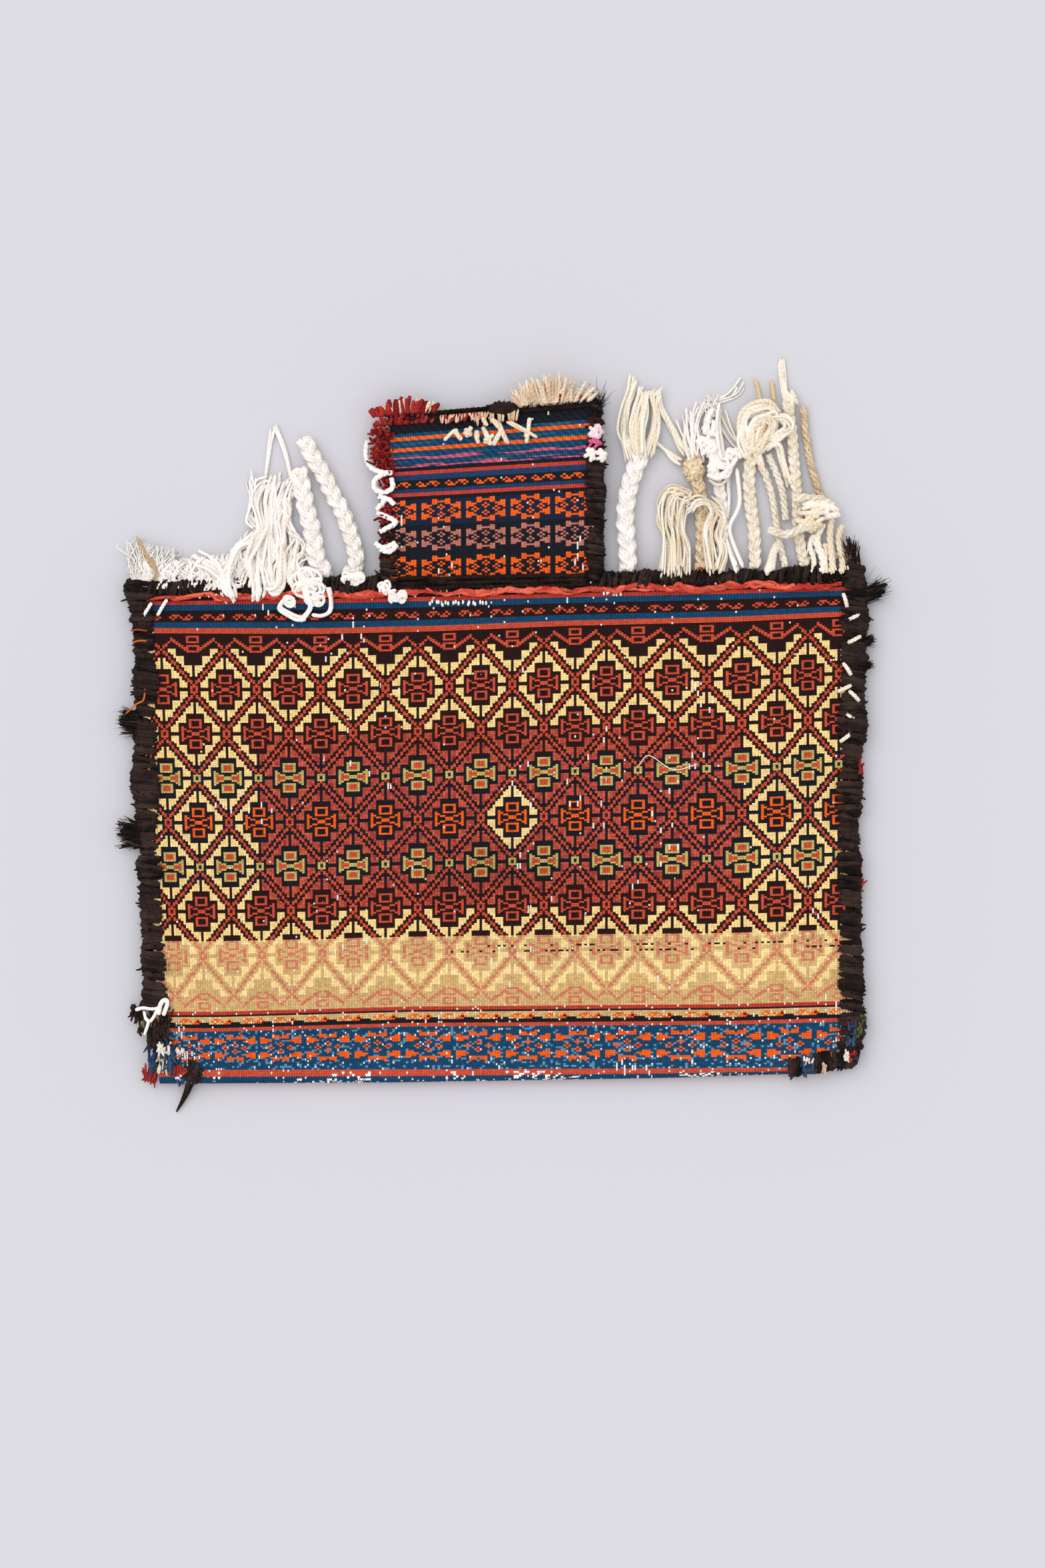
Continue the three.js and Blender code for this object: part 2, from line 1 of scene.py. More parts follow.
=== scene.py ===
"""A flat-woven salt bag lying on its back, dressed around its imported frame.

Shapes are worked out in millimetres on the bag's own plan: x from the middle of the cloth, y from its
bottom fold towards the mouth, z from the surface that it lies on. Plan.to_frame turns them into metres
in the frame. Threads of the cloth are counted in columns, across, and in steps, down from the first
row of rosettes, so the pattern is a set of rules on whole columns and steps, as a weaver counts them.
"""

import logging
import math
from dataclasses import dataclass, field
from enum import Enum
from typing import Callable, Optional, Sequence, Union

import bpy
import numpy as np
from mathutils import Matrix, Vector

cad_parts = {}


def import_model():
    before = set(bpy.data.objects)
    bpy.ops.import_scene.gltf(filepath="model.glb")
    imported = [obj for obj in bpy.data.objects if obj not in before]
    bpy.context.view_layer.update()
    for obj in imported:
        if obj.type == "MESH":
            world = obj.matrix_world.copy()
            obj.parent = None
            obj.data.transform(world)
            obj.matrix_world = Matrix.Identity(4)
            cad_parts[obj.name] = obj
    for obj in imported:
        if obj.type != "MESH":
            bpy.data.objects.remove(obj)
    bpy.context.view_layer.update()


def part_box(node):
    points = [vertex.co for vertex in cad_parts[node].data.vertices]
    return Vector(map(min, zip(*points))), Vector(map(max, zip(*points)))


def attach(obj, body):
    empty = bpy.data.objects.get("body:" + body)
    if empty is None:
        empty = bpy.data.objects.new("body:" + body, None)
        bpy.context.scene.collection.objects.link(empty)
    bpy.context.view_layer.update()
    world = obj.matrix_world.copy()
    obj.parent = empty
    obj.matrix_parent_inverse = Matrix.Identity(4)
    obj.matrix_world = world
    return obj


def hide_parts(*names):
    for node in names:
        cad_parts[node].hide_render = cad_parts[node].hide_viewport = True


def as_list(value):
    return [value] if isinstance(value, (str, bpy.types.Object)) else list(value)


log = logging.getLogger("salt_bag")

MM = 0.001
BODY = "root"
UP = (0.0, 0.0, 1.0)
THREAD_MAP = "thread"
TONE = "tone"
SEED = 20

Array = np.ndarray
Rng = np.random.Generator
Material = bpy.types.Material
Piece = bpy.types.Object
Colour = tuple[float, float, float]
Tones = tuple[float, float]
Point = Sequence[float]
Points = Sequence[Point]
Number = Union[float, "Value"]


def dye(red: int, green: int, blue: int) -> Colour:
    """A colour given as screen values from 0 to 255, as linear light.

    Args:
        red, green, blue: screen values.

    Returns:
        The three linear values.
    """
    shares = np.array([red, green, blue]) / 255
    linear = np.where(shares <= 0.04045, shares / 12.92, ((shares + 0.055) / 1.055) ** 2.4)
    return tuple(float(x) for x in linear)


# Plan of the bag


@dataclass(frozen=True)
class Plan:
    """The bag's outline in plan and its heights, in millimetres, and where the plan lies in the frame."""

    corner: tuple[float, float]
    body_width: float = 452.0
    body_height: float = 308.0
    left_taper: float = 14.0
    right_taper: float = 2.0
    shoulder_rise: float = 9.0
    neck_left: float = -67.0
    neck_right: float = 62.0
    neck_height: float = 102.0
    mouth_slope: float = 0.082
    stack: float = 10.4
    binding_height: float = 13.3
    shoulder_out: float = 6.5
    clearance: float = 0.3

    @staticmethod
    def from_frame() -> "Plan":
        """The plan whose cloth fills the cloth's box in the frame."""
        low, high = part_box("woven_cloth")
        return Plan(corner=((low[0] + high[0]) / 2, low[1]))

    def to_frame(self, points: Array) -> Array:
        """Plan points in millimetres as frame points in metres.

        Args:
            points: any array of x, y, z.

        Returns:
            An array of the same shape.
        """
        return np.asarray(points) * MM + np.array([*self.corner, 0.0])

    def shoulder_y(self, x: Array) -> Array:
        """Height of the shoulder edge at x."""
        return self.body_height + self.shoulder_rise / self.body_width * (x + self.body_width / 2)

    def mouth_y(self, x: Array) -> Array:
        """Height of the mouth at x."""
        return self.shoulder_y(self.neck_left) + self.neck_height + self.mouth_slope * (x - self.neck_left)

    def left_x(self, y: Array) -> Array:
        """Place of the body's left edge at y."""
        return -self.body_width / 2 + self.left_taper * (1 - y / self.body_height)

    def right_x(self, y: Array) -> Array:
        """Place of the body's right edge at y."""
        return self.body_width / 2 - self.right_taper * (1 - y / self.body_height)

    def on_shoulder(self, side: "Side", share: float) -> Array:
        """Where fringe leaves a shoulder.

        Args:
            side: which shoulder.
            share: share of the way from the neck to the corner.

        Returns:
            The point, at half the binding's height.
        """
        inner, outer = self.neck_right, self.body_width / 2
        if side is Side.LEFT:
            inner, outer = self.neck_left, -self.body_width / 2
        x = inner + share * (outer - inner)
        y = self.shoulder_y(x) + self.shoulder_out + self.clearance
        return np.array([x, y, self.binding_height / 2])


class Side(Enum):
    """The two sides of the bag, as someone who looks down on its front sees them."""

    LEFT = "left"
    RIGHT = "right"


# Paths and yarns


def unit(vectors: Array) -> Array:
    """Vectors of length one along the given ones."""
    return vectors / np.maximum(np.linalg.norm(vectors, axis=-1, keepdims=True), 1e-9)


def smooth(points: Points, count: int) -> Array:
    """A smooth line through points: a Catmull-Rom curve, sampled at even distances.

    Args:
        points: points that the line passes through.
        count: how many samples it gets.

    Returns:
        An array of count points.
    """
    knots = np.asarray(points, dtype=float)
    knots = np.vstack([2 * knots[0] - knots[1], knots, 2 * knots[-1] - knots[-2]])
    before, start, end, after = knots[:-3], knots[1:-2], knots[2:-1], knots[3:]
    t = np.linspace(0, 1, 16, endpoint=False)[:, None, None]
    bend = 2 * before - 5 * start + 4 * end - after
    turn = 3 * start - before - 3 * end + after
    dense = 0.5 * (2 * start + (end - before) * t + bend * t**2 + turn * t**3)
    dense = np.vstack([dense.transpose(1, 0, 2).reshape(-1, knots.shape[1]), knots[-2]])
    along = np.concatenate([[0], np.cumsum(np.linalg.norm(np.diff(dense, axis=0), axis=1))])
    wanted = np.linspace(0, along[-1], count)
    return np.stack([np.interp(wanted, along, dense[:, i]) for i in range(dense.shape[1])], axis=1)


def length_of(path: Array) -> float:
    """Length of one path."""
    return float(np.linalg.norm(np.diff(path, axis=0), axis=1).sum())


def frames(paths: Array, lead: Point = UP) -> tuple[Array, Array, Array]:
    """The directions along, across and above each point of some paths.

    Args:
        paths: points, with the path's steps on the second axis from the end.
        lead: what above leans towards, off every path's own direction.

    Returns:
        Unit vectors along, across and above.
    """
    along = unit(np.gradient(paths, axis=-2))
    across = unit(np.cross(along, np.asarray(lead, dtype=float)) + np.array([1e-6, 0, 0]))
    return along, across, np.cross(across, along)


def wound(paths: Array, count: int, offset: float, lay: float, start: float = 0.0) -> Array:
    """Yarns twisted round each path: each one circles it once in every lay of its length.

    Args:
        paths: (n, m, 3) lines.
        count: yarns round each line.
        offset: distance of a yarn's middle from its line.
        lay: length of one full turn.
        start: turn at the path's start, in radians.

    Returns:
        (n * count, m, 3) lines.
    """
    _, across, above = frames(paths)
    gaps = np.linalg.norm(np.diff(paths, axis=1), axis=2)
    along = np.concatenate([np.zeros((len(paths), 1)), np.cumsum(gaps, axis=1)], axis=1)
    phase = 2 * np.pi * (along[:, None, :] / lay + np.arange(count)[None, :, None] / count) + start
    ring = np.cos(phase)[..., None] * across[:, None] + np.sin(phase)[..., None] * above[:, None]
    return (paths[:, None] + offset * ring).reshape(-1, paths.shape[1], 3)


def plaited(path: Array, radius: float, period: float) -> Array:
    """The three strands of a flat plait: each follows a sine across it and one twice as fast above it.

    Args:
        path: (m, 3) middle line.
        radius: half the plait's width.
        period: length in which a strand comes back to its place.

    Returns:
        (3, m, 3) lines.
    """
    _, across, above = frames(path)
    gaps = np.linalg.norm(np.diff(path, axis=0), axis=1)
    along = np.concatenate([[0], np.cumsum(gaps)])
    phase = 2 * np.pi * (along[None, :] / period + np.arange(3)[:, None] / 3)
    sideways = (0.56 * radius * np.sin(phase))[..., None] * across
    lift = (0.3 * radius * np.sin(2 * phase))[..., None] * above
    return path[None] + sideways + lift


def turned(ahead: Array, aside: Array, turn: Array, height: Array) -> Array:
    """Points of a plan turned about the origin: the usual sines and cosines, with a height for each."""
    return np.stack([ahead * np.cos(turn) - aside * np.sin(turn), ahead * np.sin(turn) + aside * np.cos(turn),
                     height], axis=-1)


def at_level(x: Array, y: Array, level: float) -> Array:
    """Points of a plan, all at one height."""
    return np.stack([x, y, np.full(len(x), level)], axis=-1)


def bent(root: Array, way: Array, size: Array, bend: Array, steps: int, start: float = 0.0) -> Array:
    """Short lines from their roots: each goes its way, and a bend grows with the square of the distance gone.

    Args:
        root, way, bend: (n, 3) places, directions and bends.
        size: (n, 1, 1) lengths.
        steps: points on each line.
        start: where a line starts, 0 at its root or -1 as far behind it as its end is ahead.

    Returns:
        (n, steps, 3) lines.
    """
    t = np.linspace(start, 1, steps)[None, :, None]
    return root[:, None] + size * (way[:, None] * t + bend[:, None] * t**2)


def taper(steps: int, tip: float = 0.15) -> Array:
    """Shares of a radius along a hair, from full at its root to a fine tip."""
    return np.linspace(1, tip, steps) ** 0.8


def round_ends(steps: int, tip: float = 0.45) -> Array:
    """Shares of a radius along a yarn whose two ends are drawn in.

    Args:
        steps: how many points the yarn has.
        tip: share left at an end.

    Returns:
        The shares.
    """
    shares = np.ones(steps)
    shares[[0, -1]] = tip
    return shares


class Skein:
    """Tubes of yarn or hair collected into one mesh, with a map along each tube and a tone for each."""

    def __init__(self, rng: Rng) -> None:
        """Starts with no yarn, and with the random numbers that the yarn is laid by.

        Args:
            rng: random numbers.
        """
        self.rng = rng
        self.points: list[Array] = []
        self.faces: list[Array] = []
        self.maps: list[Array] = []
        self.tones: list[Array] = []
        self.marks: list[Array] = []
        self.total = 0

    def add(self, paths: Array, radii: Union[float, Array], tone: Union[float, Array] = 0.5, sides: int = 6,
            finish: int = 0, lead: Point = UP) -> None:
        """Adds a closed tube round every path: rings of points at a radius from the path, joined by quads.

        Args:
            paths: (n, m, 3) lines, or one line of (m, 3).
            radii: one radius, or one for each path, step, or both.
            tone: light or dark, from 0 to 1, one for all or one for each path.
            sides: points round each ring.
            finish: which of the mesh's finishes the tubes take.
            lead: the direction that the rings start from, off every path's own direction.
        """
        paths = paths[None] if paths.ndim == 2 else paths
        count, steps = paths.shape[:2]
        radii = np.broadcast_to(radii, (count, steps))
        _, across, above = frames(paths, lead)
        turn = 2 * np.pi * np.arange(sides) / sides
        ring = np.cos(turn)[:, None] * across[:, :, None] + np.sin(turn)[:, None] * above[:, :, None]
        points = paths[:, :, None] + radii[:, :, None, None] * ring
        points[..., 2] = np.maximum(points[..., 2], 0.05)
        index = np.arange(count * steps * sides).reshape(count, steps, sides) + self.total
        beside = np.roll(index, -1, axis=2)
        quads = np.stack([index[:, :-1], index[:, 1:], beside[:, 1:], beside[:, :-1]], axis=-1)
        gaps = np.linalg.norm(np.diff(paths, axis=1), axis=2)
        along = np.concatenate([np.zeros((count, 1)), np.cumsum(gaps, axis=1)], axis=1)
        low = np.broadcast_to(along[:, :-1, None], (count, steps - 1, sides))
        high = np.broadcast_to(along[:, 1:, None], (count, steps - 1, sides))
        left = np.broadcast_to(np.arange(sides) / sides, low.shape)
        right = left + 1 / sides
        quad_map = np.stack([left, low, left, high, right, high, right, low], axis=-1)
        caps = np.concatenate([index[:, 0], index[:, -1, ::-1]])
        cap_map = np.zeros((len(caps), sides, 2))
        self.points.append(points.reshape(-1, 3))
        self.faces += [quads.reshape(-1, 4), caps]
        self.maps += [quad_map.reshape(-1, 2), cap_map.reshape(-1, 2)]
        tones = np.broadcast_to(np.reshape(tone, (-1, 1)), (count, steps * sides))
        self.tones.append(tones.reshape(-1))
        self.marks.append(np.full(quads.size // 4 + len(caps), finish))
        self.total += count * steps * sides

    def twist(self, path: Array, radius: float, tone: float) -> None:
        """Adds one yarn of three plies, each ply circling the yarn's line.

        Args:
            path: (m, 3) line.
            radius: of the whole yarn.
            tone: light or dark.
        """
        plies = wound(path[None], 3, 0.46 * radius, 5.5 * radius)
        self.add(plies, 0.55 * radius * round_ends(len(path)), tone)

    def tangle(self, centre: Point, radii: Point, loops: int, radius: float, finish: int = 0) -> None:
        """Adds a knot: loops over its top, each part of an upright ring at a chance turn and offset.

        Args:
            centre: middle of the knot.
            radii: its three radii.
            loops: how many loops.
            radius: of the yarn.
            finish: which finish they take.
        """
        rng = self.rng
        for turn in np.linspace(0, np.pi, loops, endpoint=False) + rng.normal(0, 0.4, loops):
            offset = rng.uniform(-0.75, 0.75)
            angle = np.linspace(-0.4, 1.3 * np.pi, 8) + rng.normal(0, 0.3)
            size = math.sqrt(1 - offset**2) * rng.uniform(0.9, 1.06, 8)
            ahead = size * np.cos(angle)
            aside = offset + 0.2 * rng.normal(0, 1) * np.cos(angle)
            ring = turned(ahead, aside, turn, size * np.sin(angle))
            points = ring * np.array(radii) + np.array(centre)
            points[:, 2] = np.maximum(points[:, 2], radius)
            thick = radius * rng.uniform(0.85, 1.15) * round_ends(22)
            self.add(smooth(points, 22), thick, rng.uniform(0.4, 1.0), 7, finish)

    def snarl(self, centre: Point, radii: Point, loops: int, radius: float) -> None:
        """Adds slack loops that lie on each other: each is most of an oval round a spot near the middle.

        Args:
            centre: the middle.
            radii: half the snarl's size along each axis.
            loops: how many.
            radius: of the yarn.
        """
        rng, shape = self.rng, (loops, 1)
        turn = rng.uniform(0, 2 * np.pi, shape) + rng.uniform(4.2, 6.0, shape) * np.linspace(0, 1, 16)
        size = rng.uniform(0.35, 0.7, shape)
        short_way = size * rng.uniform(0.4, 0.9, shape) * np.sin(turn)
        tilt = rng.uniform(0, np.pi, shape)
        oval = turned(size * np.cos(turn), short_way, tilt, 0.6 * np.sin(turn + tilt))
        spot = rng.uniform(-0.45, 0.45, (loops, 1, 3))
        lines = np.array(centre) + np.array(radii) * (spot + oval)
        self.add(lines, radius * round_ends(16, 0.8), rng.uniform(0.6, 1.0, loops))

    def strands(self, points: Points, count: int, radius: float, spread: float, tones: Tones = (0.4, 1.0),
                finish: int = 0) -> None:
        """Adds yarns side by side: smooth lines near the points, moved by chance, most at their ends.

        Args:
            points: points along the strands.
            count: how many strands.
            radius: of a strand.
            spread: how far its ends are moved.
            tones: darkest and lightest.
            finish: which finish they take.
        """
        rng = self.rng
        knots = np.array(points, dtype=float)
        share = np.linspace(0, 1, len(knots))[:, None]
        for _ in range(count):
            first, last = rng.normal(0, spread, (2, 3)) * (1, 1, 0.7)
            moved = knots + first * (1 - share) + last * share + rng.normal(0, 0.4 * spread, knots.shape)
            line = smooth(moved, 5 * len(knots) + 3)
            line[:, 2] = np.maximum(line[:, 2], radius)
            thick = radius * rng.uniform(0.8, 1.2) * round_ends(len(line))
            self.add(line, thick, rng.uniform(*tones), 6, finish)

    def shag(self, row: Array, count: int, length: float, tones: Tones = (0.0, 0.5)) -> None:
        """Adds loose hair along a row: each hair lies mostly along the row and a little up.

        Args:
            row: (m, 3) line that the hairs start from.
            count: how many hairs.
            length: usual length.
            tones: darkest and lightest.
        """
        rng = self.rng
        at = rng.integers(0, len(row), count)
        root = row[at] + rng.normal(0, 0.7, (count, 3))
        parts = [rng.normal(0, 1, count), rng.normal(0, 0.5, count), rng.uniform(0, 0.4, count)]
        way = np.stack(parts, axis=-1)
        size = length * rng.uniform(0.4, 1.2, (count, 1, 1))
        lines = bent(root, way, size, rng.normal(0, 0.3, (count, 3)), 5)
        level = row[0, 2]
        lines[..., 2] = np.clip(lines[..., 2], level - 1.2, level + 2.5)
        self.add(lines, 0.3 * taper(5), rng.uniform(*tones, count), 3)

    def build(self, name: str, plan: Plan, finishes: Sequence[Material]) -> Piece:
        """Makes the mesh object.

        Args:
            name: the piece's name.
            plan: where the bag lies.
            finishes: materials, in the order that the tubes' finish numbers mean.

        Returns:
            The new object.
        """
        points = plan.to_frame(np.concatenate(self.points))
        return mesh_piece(f"{name}_yarn", points, self.faces, np.concatenate(self.maps), finishes,
                          np.concatenate(self.marks), np.concatenate(self.tones))


def mesh_piece(name: str, points: Array, faces: Sequence[Array], corner_map: Array,
               finishes: Sequence[Material], marks: Array, tones: Optional[Array] = None) -> Piece:
    """A mesh object from whole arrays, with its place in its mesh.

    Args:
        name: the piece's name.
        points: (n, 3) places in the frame, in metres.
        faces: arrays of faces, each of one number of corners.
        corner_map: (corners, 2) thread map, in the order of the faces' corners.
        finishes: the piece's materials.
        marks: which finish each face takes.
        tones: light or dark of each point.

    Returns:
        The new object, linked to the scene.
    """
    mesh = bpy.data.meshes.new(name)
    corners = np.concatenate([f.ravel() for f in faces])
    counts = np.concatenate([np.full(len(f), f.shape[1]) for f in faces])
    starts = np.concatenate([[0], np.cumsum(counts)[:-1]])
    mesh.vertices.add(len(points))
    mesh.vertices.foreach_set("co", points.astype(np.float32).ravel())
    mesh.loops.add(len(corners))
    mesh.loops.foreach_set("vertex_index", corners.astype(np.int32))
    mesh.polygons.add(len(starts))
    mesh.polygons.foreach_set("loop_start", starts.astype(np.int32))
    mesh.polygons.foreach_set("material_index", marks.astype(np.int32))
    mesh.polygons.foreach_set("use_smooth", np.ones(len(starts), dtype=bool))
    mesh.uv_layers.new(name=THREAD_MAP).data.foreach_set("uv", corner_map.astype(np.float32).ravel())
    if tones is not None:
        mesh.attributes.new(TONE, "FLOAT", "POINT").data.foreach_set("value", tones.astype(np.float32))
    for finish in finishes:
        mesh.materials.append(finish)
    mesh.update(calc_edges=True)
    mesh.validate()
    piece = bpy.data.objects.new(name, mesh)
    bpy.context.scene.collection.objects.link(piece)
    return piece


# Shader maths


def maths(operation: str, turned: bool = False) -> Callable[..., "Value"]:
    """A method of Value that adds one Math node on the value and any other term.

    Args:
        operation: what the node does.
        turned: the other term comes first, as in 1 - mask.

    Returns:
        The method.
    """

    def method(self: "Value", *others: Number) -> "Value":
        """One Math node on the terms."""
        terms = (*others, self) if turned else (self, *others)
        return self.graph.node("ShaderNodeMath", {"operation": operation}, dict(enumerate(terms)))

    return method


class Value:
    """A shader socket that Python's operators work on. Masks are 0 or 1, and & | ~ work on them."""

    def __init__(self, graph: "Graph", socket: bpy.types.NodeSocket) -> None:
        """Wraps an output socket of one graph."""
        self.graph = graph
        self.socket = socket

    __add__ = maths("ADD")
    __radd__ = maths("ADD", True)
    __sub__ = maths("SUBTRACT")
    __rsub__ = maths("SUBTRACT", True)
    __mul__ = maths("MULTIPLY")
    __rmul__ = maths("MULTIPLY", True)
    __truediv__ = maths("DIVIDE")
    __mod__ = maths("FLOORED_MODULO")
    __abs__ = maths("ABSOLUTE")
    __lt__ = maths("LESS_THAN")
    __gt__ = maths("GREATER_THAN")
    __and__ = maths("MULTIPLY")
    __or__ = maths("MAXIMUM")
    least = maths("MINIMUM")
    floor = maths("FLOOR")
    sine = maths("SINE")

    def __invert__(self) -> "Value":
        """Mask of where this doesn't hold."""
        return 1.0 - self

    def between(self, low: Number, high: Number) -> "Value":
        """Mask of where this lies between two values."""
        return (self > low) & (self < high)

    def choose(self, yes: Number, no: Number) -> "Value":
        """The first value where this mask holds, and the second elsewhere."""
        return self.graph.node("ShaderNodeMix", {"data_type": "FLOAT"}, {0: self, 2: no, 3: yes})

    def clamp(self, low: float, high: float) -> "Value":
        """This, kept between two numbers."""
        return self.graph.node("ShaderNodeClamp", {}, {0: self, 1: low, 2: high})


Tint = Union[Colour, Value]


class Graph:
    """A material's node tree, with one Principled shader at its end."""

    def __init__(self, name: str) -> None:
        """Makes an empty material of that name.

        Args:
            name: of the material.
        """
        self.material = bpy.data.materials.new(name)
        self.material.use_nodes = True
        self.tree = self.material.node_tree
        self.tree.nodes.clear()
        self.shader = self.tree.nodes.new("ShaderNodeBsdfPrincipled")
        output = self.tree.nodes.new("ShaderNodeOutputMaterial")
        self.tree.links.new(self.shader.outputs[0], output.inputs[0])

    def node(self, kind: str, settings: Optional[dict] = None, sockets: Optional[dict] = None,
             out: Union[int, str] = 0) -> Value:
        """Adds one node: its settings first, then the values or links of its sockets.

        Args:
            kind: the node's type.
            settings: attributes of the node.
            sockets: a number, colour or Value for each input, by name or number.
            out: which output is wanted.

        Returns:
            That output.
        """
        made = self.tree.nodes.new(kind)
        for key, value in (settings or {}).items():
            setattr(made, key, value)
        for key, value in (sockets or {}).items():
            self.feed(made.inputs[key], value)
        return Value(self, made.outputs[out])

    def feed(self, socket: bpy.types.NodeSocket, value: Union[float, Tint]) -> None:
        """Links a Value to a socket, or sets a plain number, vector or colour on it.

        Args:
            socket: what is fed.
            value: what it gets.
        """
        if isinstance(value, Value):
            self.tree.links.new(value.socket, socket)
        elif isinstance(value, tuple) and socket.type == "RGBA":
            socket.default_value = (*value, 1.0)
        else:
            socket.default_value = value

    def blend(self, mask: Number, below: Tint, above: Tint) -> Value:
        """The colour above where the mask is 1, and the colour below where it is 0."""
        return self.node("ShaderNodeMix", {"data_type": "RGBA"}, {0: mask, 6: below, 7: above}, 2)

    def shade(self, colour: Tint, amount: Value) -> Value:
        """A colour made lighter or darker: each part of it times the amount.

        Args:
            colour: the colour.
            amount: 1 leaves it as it is.

        Returns:
            The new colour.
        """
        grey = self.node("ShaderNodeCombineColor", {}, {0: amount, 1: amount, 2: amount})
        return self.node("ShaderNodeMix", {"data_type": "RGBA", "blend_type": "MULTIPLY"},
                         {0: 1.0, 6: colour, 7: grey}, 2)

    def pair(self, across: Number, along: Number) -> Value:
        """Two values as a vector."""
        return self.node("ShaderNodeCombineXYZ", {}, {0: across, 1: along})

    def dice(self, across: Number, along: Number) -> Value:
        """A random number from 0 to 1 for each pair of values."""
        return self.node("ShaderNodeTexWhiteNoise", {"noise_dimensions": "2D"},
                         {"Vector": self.pair(across, along)}, "Value")

    def cloud(self, place: Value, scale: float, detail: float = 2.0) -> Value:
        """Smooth noise about 0.5 over a vector."""
        return self.node("ShaderNodeTexNoise", {"noise_dimensions": "3D"},
                         {"Vector": place, "Scale": scale, "Detail": detail}, 0)

    def place(self) -> Value:
        """The point on the piece, in metres."""
        return self.node("ShaderNodeTexCoord", {}, {}, "Object")

    def thread(self) -> tuple[Value, Value]:
        """The two numbers of the thread map."""
        made = self.node("ShaderNodeUVMap", {"uv_map": THREAD_MAP})
        return tuple(self.node("ShaderNodeSeparateXYZ", {}, {0: made}, i) for i in range(2))

    def finish(self, colour: Tint, roughness: Number, height: Value, depth: float) -> Material:
        """Feeds the shader.

        Args:
            colour: base colour.
            roughness: how matt it is.
            height: relief, from 0 to 1.
            depth: what a relief of 1 stands for, in metres.

        Returns:
            The material.
        """
        bump = self.node("ShaderNodeBump", {}, {"Strength": 1.0, "Distance": depth, "Height": height})
        self.feed(self.shader.inputs["Base Color"], colour)
        self.feed(self.shader.inputs["Roughness"], roughness)
        self.feed(self.shader.inputs["Normal"], bump)
        self.shader.inputs["Specular IOR Level"].default_value = 0.15
        return self.material


# Yarns


@dataclass(frozen=True)
class Yarn:
    """A finish of twisted yarn: its darkest and lightest colours, its plies, how soiled it is, and the
    painted shade and soil in its grooves.
    """

    name: str
    dark: Colour
    light: Colour
    plies: int = 2
    lay: float = 3.0
    # painted shade: how much darker the grooves between plies are painted
    groove_shade: float = 0.25
    soil: float = 0.12
    relief: float = 0.00025
    # soil and painted shade: how far the grooves' tone is pulled towards the dark colour
    crease_soil_and_shade: float = 0.0

    def make(self) -> Material:
        """The material: tone sets light or dark, a sine round and along the tube draws its plies, with
        painted shade and soil in the grooves between them.

        Returns:
            The material.
        """
        graph = Graph(self.name)
        around, along = graph.thread()
        tone = graph.node("ShaderNodeAttribute", {"attribute_name": TONE}, {}, "Fac")
        place = graph.place()
        cloud = graph.cloud(place, 90.0, 3.0)
        turn = (around * self.plies + along / self.lay) * (2 * math.pi)
        twist = turn.sine() * 0.5 + 0.5
        fibre = graph.cloud(place, 900.0, 2.0)
        # the tone is pulled towards the dark colour in the grooves between plies: soil and painted shade
        share = tone + (cloud - 0.5) * 0.8 + (fibre - 0.5) * 0.5 - self.crease_soil_and_shade * (1 - twist)
        colour = graph.blend(share.clamp(0.0, 1.0), self.dark, self.light)
        # painted shade in the grooves between plies, and soil in patches by the cloud
        amount = 1 - self.groove_shade * (1 - twist) - self.soil * cloud
        return graph.finish(graph.shade(colour, amount), 0.9, twist * 0.7 + fibre * 0.3, self.relief)


COTTON = Yarn("white_cotton", dye(236, 220, 204), dye(255, 253, 250), groove_shade=0.06, soil=0.04, crease_soil_and_shade=0.22)
IVORY = Yarn("ivory_cotton", dye(222, 192, 148), dye(255, 251, 241), groove_shade=0.06, soil=0.05, crease_soil_and_shade=0.22)
CREAM = Yarn("cream_cotton", dye(214, 170, 132), dye(255, 244, 222), groove_shade=0.1, soil=0.08, crease_soil_and_shade=0.3)
TAN = Yarn("tan_cotton", dye(182, 142, 92), dye(252, 234, 202), lay=3.5, groove_shade=0.12, crease_soil_and_shade=0.3)
RED = Yarn("red_wool", dye(124, 18, 24), dye(212, 70, 60), soil=0.15)
SCARLET = Yarn("scarlet_wool", dye(182, 40, 32), dye(242, 112, 88), groove_shade=0.15, soil=0.08)
PINK = Yarn("pink_wool", dye(232, 170, 186), dye(255, 236, 240), soil=0.06)
MAGENTA = Yarn("magenta_wool", dye(176, 44, 96), dye(232, 120, 160))
HAIR = Yarn("goat_hair", dye(20, 13, 12), dye(96, 72, 64), plies=9, lay=14.0, groove_shade=0.3, relief=0.0005)
BLACK = Yarn("black_hair", dye(12, 8, 8), dye(62, 44, 40), plies=9, lay=14.0)
BLUE = Yarn("blue_wool", dye(24, 46, 74), dye(72, 104, 140))
ORANGE = Yarn("orange_wool", dye(170, 60, 20), dye(236, 120, 60))
OLIVE = Yarn("olive_wool", dye(70, 70, 34), dye(138, 134, 78))


class Dyer:
    """Makes each yarn's material once."""

    def __init__(self) -> None:
        """Starts with no material made."""
        self.made: dict[str, Material] = {}

    def get(self, *yarns: Yarn) -> list[Material]:
        """The materials of some yarns, in order.

        Args:
            yarns: the yarns.

        Returns:
            Their materials, each made once.
        """
        for yarn in yarns:
            if yarn.name not in self.made:
                self.made[yarn.name] = yarn.make()
        return [self.made[yarn.name] for yarn in yarns]


# Cloth


class Zone(Enum):
    """Parts of the cloth that have a pattern of their own, as numbers of the cloth's finishes."""

    TOP_BAND = 0
    FIELD = 1
    BORDER = 2
    BACK = 3
    NECK = 4


